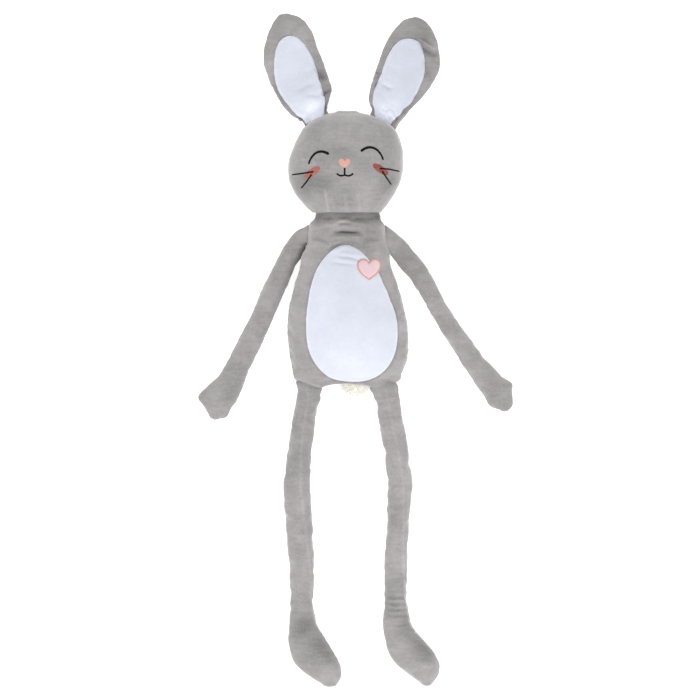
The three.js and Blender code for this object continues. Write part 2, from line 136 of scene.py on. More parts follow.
# %% [markdown]
# ## Measuring the stuffed parts
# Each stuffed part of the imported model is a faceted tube. A sewn tube is known by its cross-sections:
# how far it reaches to either side, how high its side seam lies, its top and its underside. Cutting
# the model with upright planes gives those five numbers at any place, and a smooth skin can be drawn
# through them. Ray casting would copy the facets as well, so the sections are the better way.


# %% Cut a part with upright planes
def model_edges(nodes):
    starts, ends = [], []
    for node in nodes:
        mesh = frame["nodes"][node].data
        points = np.array([v.co for v in mesh.vertices], float)
        pairs = np.array([e.vertices[:] for e in mesh.edges], int)
        starts.append(points[pairs[:, 0]])
        ends.append(points[pairs[:, 1]])
    return np.concatenate(starts), np.concatenate(ends)


def cut_section(edges, point, across):
    """Left reach, right reach, seam height, bottom and top where an upright plane cuts the part."""
    a, b = edges
    normal = np.array([across[1], -across[0], 0.0])
    da = (a - point) @ normal
    db = (b - point) @ normal
    hit = da * db < 0
    if hit.sum() < 6:
        return None
    t = (da[hit] / (da[hit] - db[hit]))[:, None]
    p = a[hit] + t * (b[hit] - a[hit])
    side = (p - point) @ np.array([across[0], across[1], 0.0])
    left, right = side.min(), side.max()
    margin = 0.02 * (right - left)
    near_left = side <= left + margin
    near_right = side >= right - margin
    seam = (p[near_left, 2].mean() + p[near_right, 2].mean()) / 2
    return left, right, seam, p[:, 2].min(), p[:, 2].max()


def smooth_rows(rows, passes):
    rows = rows.copy()
    for _ in range(passes):
        inner = rows[1:-1].copy()
        rows[1:-1] = 0.25 * rows[:-2] + 0.5 * inner + 0.25 * rows[2:]
    return rows


# %% [markdown]
# ## A skin as a ring grid
# A grid of rings and lines suits plush better than a remeshed lump: line 0 and the line opposite to
# it are the two seams, so the cloth can be pinned, grooved and parted exactly there. The rings are
# rounded off over the blind end of a tube, and lie nearly flat at the end that is sewn in.

# %% Draw the grid
# 2 gives an ellipse. A little more gives the fuller section of a stuffed tube.
ROUNDNESS = 2.15


def ease(t):
    t = min(max(t, 0.0), 1.0)
    return t * t * (3 - 2 * t)


def ring_points(point, across, row, turn, around):
    left, right, seam, low, high = row
    centre = np.array(point) + np.array([*across, 0.0]) * (left + right) / 2
    half = (right - left) / 2
    points = []
    for j in range(around):
        angle = turn + math.tau * j / around
        c, s = math.cos(angle), math.sin(angle)
        side = math.copysign(abs(c) ** (2 / ROUNDNESS), c) * half
        rise = math.copysign(abs(s) ** (2 / ROUNDNESS), s) * ((high - seam) if s > 0 else (seam - low))
        points.append((centre[0] + across[0] * side, centre[1] + across[1] * side, seam + rise))
    return points


def grid_skin(name, rings, around):
    """A closed skin of quads through the rings. Material 0 is the upper panel, 1 the lower one."""
    points = [p for ring in rings for p in ring]
    count = len(rings)
    faces, panel = [], []
    for i in range(count - 1):
        for j in range(around):
            k = (j + 1) % around
            faces.append((i * around + j, i * around + k, (i + 1) * around + k, (i + 1) * around + j))
            panel.append(0 if j < around // 2 else 1)
    for first, flip in ((0, True), ((count - 1) * around, False)):
        half = around // 2
        for j in range(half - 1):
            a, b = first + j, first + j + 1
            c, d = first + around - j - 1, first + (around - j) % around
            face = (d, c, b, a) if not flip else (a, b, c, d)
            face = tuple(dict.fromkeys(face))
            faces.append(face)
            panel.append(0)
        last = (first + half - 1, first + half, first + half + 1)
        faces.append(last if flip else last[::-1])
        panel.append(1)
    mesh = bpy.data.meshes.new(name)
    mesh.from_pydata(points, [], faces)
    mesh.polygons.foreach_set("material_index", panel)
    along = np.zeros(count)
    centres = np.array([np.mean(ring, axis=0) for ring in rings])
    along[1:] = np.cumsum(np.linalg.norm(np.diff(centres, axis=0), axis=1))
    width = max(np.ptp(np.array(ring), axis=0).max() for ring in rings) * 1.55
    layer = mesh.uv_layers.new(name="cloth")
    for polygon in mesh.polygons:
        columns = [mesh.loops[li].vertex_index % around for li in polygon.loop_indices]
        wraps = max(columns) - min(columns) > around // 2
        for li, column in zip(polygon.loop_indices, columns):
            ring = mesh.loops[li].vertex_index // around
            turn = column + around if wraps and column < around // 2 else column
            layer.data[li].uv = (turn / around * 2 * width, along[ring])
    mesh.validate()
    skin = bpy.data.objects.new(name, mesh)
    scene.collection.objects.link(skin)
    return skin


def outward(skin):
    """Turns the faces out, whichever way the rings ran."""
    mesh = skin.data
    volume = 0.0
    for polygon in mesh.polygons:
        a, b, c = (mesh.vertices[i].co for i in polygon.vertices[:3])
        volume += a.dot(b.cross(c)) * (2 if len(polygon.vertices) == 4 else 1)
    if volume < 0:
        mesh.flip_normals()
    return skin


# %% [markdown]
# ## The six stuffed tubes and the ball of the head
# All of them are drawn the same way, from a list of cuts. A cut is a point and the direction the
# section runs in. Torso, head and legs are cut straight across. The arms and ears leave their seams
# at a slant, so their cuts start along the seam and swing round to lie square to the limb.


# %% Make the cuts and loft them
FIRST_CUT = 1.6 * MM


def limb_cuts(start, end, seam_angle, count, swing=0.12):
    """Cuts from just outside a seam to a blind end. They swing round to lie square to the limb."""
    start, end = np.array(start, float), np.array(end, float)
    off_seam = np.array([math.sin(seam_angle), -math.cos(seam_angle), 0.0])
    start = start + off_seam * math.copysign(FIRST_CUT, off_seam @ (end - start))
    run = (end - start)[:2]
    square = math.atan2(run[1], run[0]) + math.pi / 2
    while square - seam_angle > math.pi / 2:
        square -= math.pi
    while seam_angle - square > math.pi / 2:
        square += math.pi
    cuts = []
    for i in range(count):
        t = i / (count - 1)
        angle = seam_angle + (square - seam_angle) * ease(t / swing)
        cuts.append((start + (end - start) * t, (math.cos(angle), math.sin(angle))))
    return cuts


def way_out(cuts):
    """From the seam straight into the limb."""
    way = np.array(cuts[-1][0] - cuts[0][0])
    way[2] = 0
    across = np.array([*cuts[0][1], 0.0])
    way -= across * (way @ across)
    return way / np.linalg.norm(way)


def straight_cuts(high, low, count):
    return [(np.array([0, high + (low - high) * i / (count - 1), 0]), (1.0, 0.0)) for i in range(count)]


# The rings that round off a blind end, in degrees from its start to its pole.
END_RINGS = (20, 40, 58, 74, 86)
TUCKED_WIDTH = 0.97


def loft_skin(name, nodes, cuts, around, dome, collar, turn=lambda t: 0.0, shape=None, blunt=0.0):
    """A skin through every cut that meets the part, rounded over at the far end.

    dome is how long the rounded end is for its width. collar is how far the sewn end reaches on into
    the part that it is sewn to. blunt keeps the far end as wide as it was, like the edge of a pillow."""
    edges = model_edges(nodes)
    found = []
    for point, across in cuts:
        row = cut_section(edges, point, across)
        if row is not None:
            found.append((point, across, row))
    rows = smooth_rows(np.array([f[2] for f in found]), 2)
    if shape is not None:
        rows = np.array([shape(point, row) for (point, _, _), row in zip(found, rows)])
    last = len(found) - 1
    back = -way_out(cuts) * collar
    seam_point, seam_across, _ = found[0]
    tucked = (rows[0][0] * TUCKED_WIDTH, rows[0][1] * TUCKED_WIDTH, *rows[0][2:])
    halfway = rows[0] * 0.5 + np.array(tucked) * 0.5
    rings = [ring_points(seam_point + back, seam_across, tucked, turn(0), around),
             ring_points(seam_point + back / 2, seam_across, halfway, turn(0), around)]
    for i, ((point, across, _), row) in enumerate(zip(found, rows)):
        rings.append(ring_points(point, across, row, turn(i / last), around))
    if dome > 0:
        point, across, _ = found[-1]
        step = found[-1][0] - found[-2][0]
        step = step / np.linalg.norm(step)
        row = rows[-1]
        centre = (row[0] + row[1]) / 2
        length = (row[1] - row[0]) * dome
        for angle in END_RINGS:
            shrink, out = math.cos(math.radians(angle)), math.sin(math.radians(angle))
            narrow = 1 - (1 - shrink) * (1 - blunt)
            small = (
                centre + (row[0] - centre) * narrow,
                centre + (row[1] - centre) * narrow,
                row[2],
                row[2] + (row[3] - row[2]) * shrink,
                row[2] + (row[4] - row[2]) * shrink,
            )
            rings.append(ring_points(point + step * length * out, across, small, turn(1), around))
    return outward(grid_skin(name, rings, around))


SIDES = ("right", "left")
HIP_TURN = math.radians(90)
FOOT_TURN = math.radians(8)
# Where the torso starts to fill out toward the neck and over what length, in mm. Then how much it
# fills out and how thick it is at least, each below and above the side seams.
NECK_STARTS, NECK_RUN = 108, 36
NECK_FULLER = (10 * MM, 16 * MM)
LEAST_HALF = (8 * MM, 10 * MM)


def torso_fill(point, row):
    """The neck and the hips are stuffed too, so they are thicker than the flat seams that they turn on."""
    left, right, seam, low, high = row
    near_neck = ease((point[1] / MM - NECK_STARTS) / NECK_RUN)
    low, high = low - NECK_FULLER[0] * near_neck, high + NECK_FULLER[1] * near_neck
    return left, right, seam, min(low, seam - LEAST_HALF[0]), max(high, seam + LEAST_HALF[1])


def sewn_full(least):
    """Stuffed up to the seam, so no thinner there than least to either side of it."""
    def shape(point, row):
        left, right, seam, low, high = row
        return left, right, seam, min(low, seam - least), max(high, seam + least)
    return shape


def leg_turn(t):
    return HIP_TURN + (FOOT_TURN - HIP_TURN) * t ** 1.5


skins = {}
limb_ways = {}
torso_low, torso_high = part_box("torso_back_panel")
skins["torso"] = loft_skin(
    "torso", ("torso_front_panel", "torso_back_panel", "belly_panel"),
    straight_cuts(torso_high[1] - 0.3 * MM, torso_low[1] + 6.5 * MM, 88), 96, dome=0.03, collar=14 * MM,
    shape=torso_fill, blunt=0.85,
)
head_low, head_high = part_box("face_panel")
skins["head"] = loft_skin(
    "head", ("face_panel", "head_back_panel"),
    straight_cuts(head_low[1] + 6 * MM, head_high[1] - 0.4 * MM, 56), 88, dome=0.1, collar=1.5 * MM, blunt=0.5,
)
for side in SIDES:
    shoulder = joints[f"shoulder_{side}_raise"]["pos_m"]
    arm_low, arm_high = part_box(f"arm_back_panel_{side}")
    hand_x = arm_low[0] + 26 * MM if side == "right" else arm_high[0] - 18 * MM
    arm_cuts = limb_cuts(shoulder, (hand_x, arm_low[1] + 1 * MM, 0), math.radians(86 if side == "right" else 95), 86)
    limb_ways[f"arm_{side}"] = (shoulder, way_out(arm_cuts))
    skins[f"arm_{side}"] = loft_skin(
        f"arm_{side}", (f"arm_front_panel_{side}", f"arm_back_panel_{side}"), arm_cuts, 32,
        dome=0.45, collar=11 * MM, shape=sewn_full(9 * MM))
    hip = joints[f"hip_{side}_flex"]["pos_m"]
    leg_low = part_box(f"leg_outer_panel_{side}")[0]
    leg_seam = math.radians(-18 if side == "right" else 15)
    leg_cuts = limb_cuts(hip, (hip[0], leg_low[1] + 0.5 * MM, 0), leg_seam, 130, swing=0.07)
    limb_ways[f"leg_{side}"] = (hip, way_out(leg_cuts))
    skins[f"leg_{side}"] = loft_skin(
        f"leg_{side}", (f"leg_outer_panel_{side}", f"leg_inner_panel_{side}"), leg_cuts, 36,
        dome=0.2, collar=13 * MM, turn=leg_turn, shape=sewn_full(9 * MM))
    fold = joints[f"ear_{side}_fold"]
    ear_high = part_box(f"ear_back_panel_{side}")[1]
    lean = -38 * MM if side == "right" else 41 * MM
    ear_seam = math.atan2(fold["axis"][1], fold["axis"][0])
    ear_cuts = limb_cuts(fold["pos_m"], (fold["pos_m"][0] + lean, ear_high[1] - 0.4 * MM, 0), ear_seam, 56, swing=0.3)
    limb_ways[f"ear_{side}"] = (fold["pos_m"], way_out(ear_cuts))
    skins[f"ear_{side}"] = loft_skin(
        f"ear_{side}", (f"ear_back_panel_{side}", f"ear_border_{side}", f"ear_lining_{side}"), ear_cuts, 56,
        dome=0.12, collar=12 * MM, shape=sewn_full(2.5 * MM))
for name, skin in skins.items():
    print(name, "skin:", len(skin.data.vertices), "points")


# %% [markdown]
# ## Inflating the cloth
# A stuffed toy's cloth is stretched by its filling and held back by its seams, so it swells between
# them and wrinkles where it is cut a little too wide. The Cloth modifier does both: pressure pushes
# outward, a negative shrink cuts the cloth wider, and the seam points are pinned. Gravity is off,
# because the filling carries the shape. Each point may move only a few millimetres, and none may
# sink into the floor, so the undersides come out flat where the toy lies.


# %% Pin, inflate and cap
def pin_seams(skin, around, whole_rings):
    group = skin.vertex_groups.new(name="seam")
    count = len(skin.data.vertices)
    held = [i for i in range(count) if i % around in (0, around // 2)]
    held += range(whole_rings * around)
    held += range(count - (len(END_RINGS) + 1) * around, count)
    group.add(sorted(set(held)), 1.0, "REPLACE")


LAST_STEP = 20


def add_cloth(skin, pressure, slack):
    modifier = skin.modifiers.new("cloth", "CLOTH")
    cloth = modifier.settings
    cloth.quality = 6
    cloth.mass = 0.2
    cloth.tension_stiffness = 12
    cloth.compression_stiffness = 6
    cloth.shear_stiffness = 4
    cloth.bending_stiffness = 0.35
    cloth.use_pressure = True
    cloth.uniform_pressure_force = pressure
    cloth.shrink_min = -slack
    cloth.shrink_max = -slack
    cloth.vertex_group_mass = "seam"
    cloth.effector_weights.gravity = 0
    modifier.collision_settings.use_collision = False
    modifier.point_cache.frame_start = 1
    modifier.point_cache.frame_end = LAST_STEP


def positions(mesh):
    flat = np.empty(len(mesh.vertices) * 3)
    mesh.vertices.foreach_get("co", flat)
    return flat.reshape(-1, 3)


def set_positions(mesh, points):
    mesh.vertices.foreach_set("co", np.asarray(points, float).ravel())
    mesh.update()


def relax(mesh, points, passes, strength=0.5):
    """Moves each point toward the middle of its neighbours."""
    pairs = np.array([e.vertices[:] for e in mesh.edges])
    degree = np.bincount(pairs.ravel(), minlength=len(points))[:, None]
    for _ in range(passes):
        total = np.zeros_like(points)
        np.add.at(total, pairs[:, 0], points[pairs[:, 1]])
        np.add.at(total, pairs[:, 1], points[pairs[:, 0]])
        points = points + strength * (total / degree - points)
    return points


# Points around a skin, its pressure and slack, and how far the cloth may move.
AROUND = {"torso": 96, "head": 88, "ear": 56, "arm": 32, "leg": 36}
SWELL = {"torso": (1.6, 0.03), "head": (1.6, 0.01), "ear": (0.4, 0.02), "arm": (1.8, 0.03), "leg": (1.8, 0.035)}
MOST_SWELL = {"torso": 4 * MM, "head": 3 * MM, "ear": 2 * MM, "arm": 2.5 * MM, "leg": 2.5 * MM}
REST_HEIGHT = 0.3 * MM
rng = np.random.default_rng(7)

drawn = {name: positions(skin.data) for name, skin in skins.items()}
for name, skin in skins.items():
    kind = name.split("_")[0]
    pin_seams(skin, AROUND[kind], 2)
    jitter = rng.normal(0, 0.25 * MM, drawn[name].shape)
    set_positions(skin.data, drawn[name] + jitter)
    add_cloth(skin, *SWELL[kind])
for step in range(1, LAST_STEP + 1):
    scene.frame_set(step)
view = bpy.context.evaluated_depsgraph_get()
for name, skin in skins.items():
    kind = name.split("_")[0]
    swollen = positions(skin.evaluated_get(view).to_mesh())
    move = swollen - drawn[name]
    length = np.linalg.norm(move, axis=1, keepdims=True)
    move *= np.minimum(1, MOST_SWELL[kind] / np.maximum(length, 1e-9))
    skin.modifiers.clear()
    settled = relax(skin.data, drawn[name] + move, 1)
    set_positions(skin.data, settled)
    print(name, "swells by", round(float(np.linalg.norm(move, axis=1).mean() / MM), 2), "mm on average")
scene.frame_set(1)

# %% [markdown]
# ## Seams, creases and pleats
# After inflating, one subdivision gives the cloth fine enough points to carry what the needle and
# the hand did. A seam pulls the two panels into a narrow valley that puckers every few stitches. A
# crease is a sharper valley between two soft rolls. Both are made by pushing the nearby points in
# along their normals, by how far they lie from the line.


# %% Finer mesh and valleys
def subdivide(skin):
    modifier = skin.modifiers.new("finer", "SUBSURF")
    modifier.levels = 1
    modifier.render_levels = 1
    view = bpy.context.evaluated_depsgraph_get()
    finer = bpy.data.meshes.new_from_object(skin.evaluated_get(view))
    skin.modifiers.clear()
    skin.data = finer


def normals_of(mesh):
    flat = np.empty(len(mesh.vertices) * 3)
    mesh.vertex_normals.foreach_get("vector", flat)
    return flat.reshape(-1, 3)


def dense(points, closed, pitch=1.0 * MM):
    """A polyline with a point every pitch, and how far along each one lies."""
    points = np.asarray(points, float)
    if closed:
        points = np.vstack([points, points[:1]])
    lengths = np.r_[0, np.cumsum(np.linalg.norm(np.diff(points, axis=0), axis=1))]
    at = np.arange(0, lengths[-1], pitch)
    return np.column_stack([np.interp(at, lengths, points[:, k]) for k in range(3)]), at


AT_ONCE = 4000


def distance_to_line(points, line):
    nearest = np.full(len(points), np.inf)
    index = np.zeros(len(points), int)
    for start in range(0, len(points), AT_ONCE):
        part = slice(start, start + AT_ONCE)
        gap = np.linalg.norm(points[part][:, None, :] - line[None, :, :], axis=2)
        nearest[part] = gap.min(axis=1)
        index[part] = gap.argmin(axis=1)
    return nearest, index


def press_valley(skin, line, depth, width, roll=0.35, pucker=0.0, pitch=9 * MM, taper=0.35,
                 closed=False, through=False):
    """Pushes the cloth in along a line, with a soft roll on both sides of it.

    In a thin piece the fold goes right through: both of its panels move down together."""
    mesh = skin.data
    points = positions(mesh)
    path, at = dense(line, closed)
    if through:
        flat, path = points * (1, 1, 0), path * (1, 1, 0)
        ways = np.tile((0.0, 0.0, 1.0), (len(points), 1))
    else:
        flat, ways = points, normals_of(mesh)
    box = (flat >= path.min(axis=0) - 4 * width).all(axis=1) & (flat <= path.max(axis=0) + 4 * width).all(axis=1)
    near = np.flatnonzero(box)
    if not len(near):
        return
    gap, index = distance_to_line(flat[near], path)
    strength = np.ones(len(near))
    if taper > 0:
        ends = np.minimum(at[index], at[-1] - at[index]) / (taper * at[-1])
        strength = np.clip(ends, 0, 1) ** 0.7
    strength = strength * (1 + pucker * np.sin(at[index] / pitch * math.tau))
    profile = np.exp(-(gap / width) ** 2) - roll * np.exp(-((gap - 1.9 * width) / (0.9 * width)) ** 2)
    points[near] -= ways[near] * (depth * strength * profile)[:, None]
    set_positions(mesh, points)


DROP_FROM = 0.4


def drop_onto(skins_below, x, y):
    """The height of the highest cloth over a place on the floor, or None where there is none."""
    best = None
    for tree in skins_below:
        hit = tree.ray_cast(Vector((x, y, DROP_FROM)), Vector((0, 0, -1)))[0]
        if hit is not None and (best is None or hit.z > best):
            best = hit.z
    return best


def tree_of(skin):
    mesh = skin.data
    return BVHTree.FromPolygons([v.co for v in mesh.vertices], [p.vertices[:] for p in mesh.polygons])


def laid_on(skin, places_mm):
    """Places on the upper side of a skin, from their x and y in millimetres."""
    tree = tree_of(skin)
    line = []
    for x, y in places_mm:
        z = drop_onto([tree], x * MM, y * MM)
        if z is not None:
            line.append((x * MM, y * MM, z))
    return np.array(line)


# Where a pattern is cut fuller or slimmer, in mm: x, y, how far x and y move, radius.
NUDGES = {
    "head": [(0, 305, 0, -2.6, 26)],
    "ear_right": [(-103, 441, 0, 1.8, 15), (-122, 371, -2, 0, 16), (-24, 335, 2, 0, 10)],
    "ear_left": [(97, 435, 0, 3.6, 17), (131, 368, 3, 0, 17)],
    "torso": [(-56, 137, -2.5, 0.5, 9), (55, 131, 1, 0.5, 9), (-74, -86, -2, 0, 9), (72, -87, 2, 0, 9),
              (-4, -96, 0, 3.5, 24), (-42, -96, 0, -3.5, 9), (40, -96, 0, -3.5, 9), (-64, 94, -2.5, 0, 12),
              (58, 97, 1.5, 0, 7), (72, -87, 2.5, 0, 8), (-47, 152, -2.5, 0, 5), (46, 151, 3, 0, 6)],
    "leg_right": [(-42, -99, 6, 0, 7), (-44, -114, 1, 0, 10), (-80, -92, 1, 2, 8)],
    "leg_left": [(37, -99, -7, 0, 7), (43, -122, 2.5, 0, 12), (72, -102, 2.4, 0, 16)],
    "arm_right": [(-61, 139, 0, -3, 8), (-67, 97, 6.5, 0.5, 12), (-213, -110, -4.5, -2.5, 9),
                  (-201, -137, -4, 0, 7), (-178, -138, 1.5, -4, 9)],
    "arm_left": [(56, 134, -3, 2.2, 9), (63, 97, -2, 0, 7), (234, -92, 4.5, -0.5, 7),
                 (223, -84, -1.5, -1.5, 6), (237, -119, 4, 0, 8), (207, -121, -1, -3.5, 9)],
}


def nudge(skin, x, y, dx, dy, radius):
    """Moves a place on the outline sideways, the way a thumb or a cheek is cut into a pattern."""
    points = positions(skin.data)
    gap = np.hypot(points[:, 0] - x * MM, points[:, 1] - y * MM) / (radius * MM)
    points[:, :2] += np.exp(-gap ** 2)[:, None] * np.array([dx, dy]) * MM
    set_positions(skin.data, points)


# The rings that carry no fold: those tucked in at the seam, and those that close the tip.
SEWN_RINGS, TIP_RINGS = 2, 8

# Places along a limb, from the seam in mm: where, how wide, how deep.
CRINKLES = {
    "leg_right": [(15, 14, 0.45), (90, 50, 0.25), (220, 80, 0.25), (330, 30, 0.4)],
    "leg_left": [(26, 14, 0.8), (70, 40, 0.3), (150, 60, 0.25), (260, 60, 0.3), (325, 20, 1.0)],
    "arm_right": [(60, 40, 0.25), (150, 50, 0.3), (215, 30, 0.25)],
    "arm_left": [(60, 40, 0.25), (150, 50, 0.3), (215, 30, 0.25)],
}


def crinkle(skin, around, places, waves=(9, 13, 19)):
    """Small folds across a limb, where its cloth is pushed together."""
    mesh = skin.data
    grid = positions(mesh).reshape(-1, around, 3)
    middle = grid.mean(axis=1)
    along = np.r_[0, np.cumsum(np.linalg.norm(np.diff(middle, axis=0), axis=1))] / MM
    depth = sum(amount * np.exp(-((along - where) / wide) ** 2) for where, wide, amount in places)
    angle = np.arange(around) / around * math.tau
    fold = np.zeros(grid.shape[:2])
    for wave in waves:
        start, lean, swing = rng.uniform(0, math.tau, 3)
        wobble = 1.4 * np.sin(angle + lean) + 0.7 * np.sin(2 * angle + swing)
        drift = 1.5 * np.sin(along / 47 + swing)
        fold += np.sin(along[:, None] / wave * math.tau + start + wobble[None, :] + drift[:, None])
    depth[-TIP_RINGS:] = 0
    normals = normals_of(mesh)
    facing_up = 0.25 + 0.75 * np.abs(normals[:, 2:])
    push = (fold * depth[:, None] * MM).reshape(-1, 1)
    set_positions(mesh, positions(mesh) + normals * push * facing_up)


# How deep and how wide a seam pulls the cloth in, in mm. The legs' seams stand out as a thin ridge instead.
SEAM_DEPTH = {"torso": (1.5, 2.2), "head": (1.5, 2.2), "arm": (1.5, 2.2), "leg": (-0.7, 1.5), "ear": (0.5, 2.2)}

seam_lines = {}
coarse_meshes = {}
for name, skin in skins.items():
    around = AROUND[name.split("_")[0]]
    coarse_meshes[name] = skin.data
    if name in CRINKLES:
        crinkle(skin, around, CRINKLES[name])
    for place in NUDGES.get(name, ()):
        nudge(skin, *place)
    grid = positions(skin.data).reshape(-1, around, 3)
    between = grid[SEWN_RINGS:-TIP_RINGS]
    seam_lines[name] = [between[:, 0].copy(), between[:, around // 2].copy()]
    subdivide(skin)
    depth, width = SEAM_DEPTH[name.split("_")[0]]
    for line in seam_lines[name]:
        press_valley(skin, line, depth * MM, width * MM, roll=0.3, pucker=0.25, pitch=11 * MM, taper=0.04)
print("finest skin:", max(len(s.data.vertices) for s in skins.values()), "points")

# %% [markdown]
# ## The creases of this toy
# The head is heavy and leans on a soft neck, so the chest folds below the chin. The legs wrinkle
# across at the hip and at the ankle, where the tube bends into the foot. Each crease is a short line
# on the upper side, with its depth and its width, all in millimetres.

# %% Press the creases
CREASES = {
    "torso": [
        ([(-27, 126), (-8, 126.6), (14, 126.4), (26, 125)], 10, 3.4),
        ([(-50, 146), (-36, 148), (-19, 149)], 2.4, 3.6),
        ([(8, 149), (24, 149), (44, 146)], 2, 4.0),
        ([(-17, 139.8), (6, 139.6)], 2.4, 2.4),
        ([(6, 146), (24, 144), (45, 138)], 2, 4.5),
        ([(-30, 101), (-18, 106), (-6, 111.5)], 5, 3.6),
        ([(-52, 119), (-38, 116), (-24, 111)], 3, 3.2),
        ([(-55, 131), (-30, 133), (0, 133.5), (30, 134)], 2.2, 3.2),
        ([(16, 119), (34, 117), (50, 121)], 2.2, 3.6),
        ([(-16, 92), (2, 90), (14, 87.5), (22, 85.5)], 2.6, 2.8),
        ([(-26, 84), (-8, 82), (10, 80)], 1.6, 2.8),
        ([(-81, 36), (-84.6, -3), (-82.5, -35), (-78.6, -63), (-77, -83)], -0.9, 1.3),
        ([(-76, -84), (-58, -91), (-42, -97)], -1.4, 1.8),
        ([(34, -98), (52, -96), (70, -90)], -1.1, 1.8),
    ],
    "head": [
        ([(-40, 164), (-8, 168), (30, 165)], 2.0, 4.0),
        ([(-33, 186), (-30, 172), (-26, 158)], -2.0, 1.7),
        ([(-5, 184), (-3, 172), (-2, 160)], -1.6, 1.7),
        ([(15, 180), (16, 170), (16, 160)], -1.6, 1.7),
        ([(-16, 176), (-14, 168), (-12, 160)], 1.0, 2.4),
        ([(8, 176), (10, 168), (10, 160)], 1.0, 2.4),
    ],
    "leg_right": [
        ([(-75, -123), (-60, -127)], 1.4, 2.0),
        ([(-79, -139), (-64, -143)], 1.4, 2.0),
        ([(-81, -152), (-68, -155)], 1.2, 2.0),
        ([(-85, -321), (-68, -324), (-52, -322)], 1.2, 1.8),
        ([(-47.6, -437), (-38.5, -464), (-23, -494), (-13, -514)], -1.2, 1.4),
    ],
    "leg_left": [
        ([(44, -136), (62, -133)], 1.5, 2.0),
        ([(44, -144), (64, -141)], 1.5, 2.0),
        ([(46, -154), (63, -151)], 1.3, 2.0),
        ([(54, -322), (67, -325)], 2.0, 2.4),
        ([(56, -401), (66, -404), (80, -403)], 2.0, 2.0),
        ([(56, -410), (68, -414), (84, -412)], 2.4, 2.0),
        ([(57, -418), (70, -421), (86, -418)], 2.4, 2.0),
        ([(56, -426), (70, -430), (84, -427)], 2.0, 2.0),
        ([(58, -438), (74, -442), (88, -438)], 2.0, 2.4),
    ],
    "ear_right": [
        ([(-53, 369), (-43, 358), (-31, 345)], 3.4, 3.4),
        ([(-38, 326), (-28, 331)], 4, 2.8),
        ([(-67, 357), (-55, 360), (-44, 364)], 2.0, 4.5),
        ([(-79, 329), (-60, 339), (-47, 342)], 2.8, 4.2),
        ([(-67, 329), (-52, 327), (-37, 325)], 2.4, 4.2),
        ([(-78, 297), (-70, 292), (-62, 286)], 3.0, 3.2),
        ([(-69, 302), (-61, 294), (-54, 285)], -2.0, 3.0),
    ],
    "ear_left": [
        ([(95, 412), (108, 409), (120, 401), (131, 395)], 3.4, 3.2),
        ([(104, 405), (117, 395), (130, 389)], -2.8, 2.6),
        ([(106, 398), (116, 387), (128, 381)], 2.8, 3.6),
        ([(123, 383), (132, 369)], 3, 4),
        ([(40, 358), (49, 358)], 3.2, 2.4),
        ([(38, 335), (45, 346)], 3.6, 2.2),
        ([(48, 342), (56, 339), (64, 334)], 3.6, 3.4),
        ([(47, 309), (54, 303), (61, 315)], 3, 2.6),
        ([(58, 297), (63, 289), (69, 281)], 4.5, 2.4),
        ([(54, 291), (61, 301), (67, 290)], -3, 2.4),
    ],
}


for name, creases in CREASES.items():
    for places, depth, width in creases:
        line = laid_on(skins[name], places)
        if len(line) > 1:
            press_valley(skins[name], line, depth * MM, width * MM, through=name.startswith("ear"))


def settle_on_floor(skin):
    points = positions(skin.data)
    points[:, 2] = np.maximum(points[:, 2], REST_HEIGHT)
    set_positions(skin.data, points)


for skin in skins.values():
    settle_on_floor(skin)

# %% [markdown]
# ## Short plush
# The grey and the white panels are velboa: a knitted ground with a millimetre or two of soft pile.
# From a metre away no hair can be seen, only wide patches where the pile leans another way, a fine
# speckle, and a pale bloom where the cloth turns away from the eye. Hair particles would cost far
# more and show no more. So one node group gives the patches, the speckle and the height of the pile,
# and each cloth feeds it a colour of its own. A mask on the cloth's points adds painted light and
# shade: spots and strokes that lighten the cloth where light falls and darken it where shade falls.
# The bloom is the shader's sheen, together with a painted sheen: a paler colour where the cloth is
# seen edge on.


# %% The pile group
def linear(red, green, blue):
    """The linear colour of a colour in 0 to 255."""
    parts = [c / 255 for c in (red, green, blue)]
    return tuple(c / 12.92 if c <= 0.04045 else ((c + 0.055) / 1.055) ** 2.4 for c in parts) + (1,)


def effect_group(name, inputs, outputs):
    tree = bpy.data.node_groups.new(name, "ShaderNodeTree")
    for socket, kind, value in inputs:
        made = tree.interface.new_socket(name=socket, in_out="INPUT", socket_type=kind)
        made.default_value = value
    for socket, kind in outputs:
        tree.interface.new_socket(name=socket, in_out="OUTPUT", socket_type=kind)
    return tree, tree.nodes.new("NodeGroupInput"), tree.nodes.new("NodeGroupOutput")


def join(tree, start, end):
    tree.links.new(start, end)


def math_node(tree, operation, first, second):
    node = tree.nodes.new("ShaderNodeMath")
    node.operation = operation
    for socket, value in zip(node.inputs, (first, second)):
        if isinstance(value, (int, float)):
            socket.default_value = value
        else:
            join(tree, value, socket)
    return node.outputs[0]


def noise(tree, place, scale, detail, roughness=0.5, distortion=0.0):
    node = tree.nodes.new("ShaderNodeTexNoise")
    join(tree, place, node.inputs["Vector"])
    node.inputs["Scale"].default_value = scale
    node.inputs["Detail"].default_value = detail
    node.inputs["Roughness"].default_value = roughness
    node.inputs["Distortion"].default_value = distortion
    return node.outputs["Fac"]


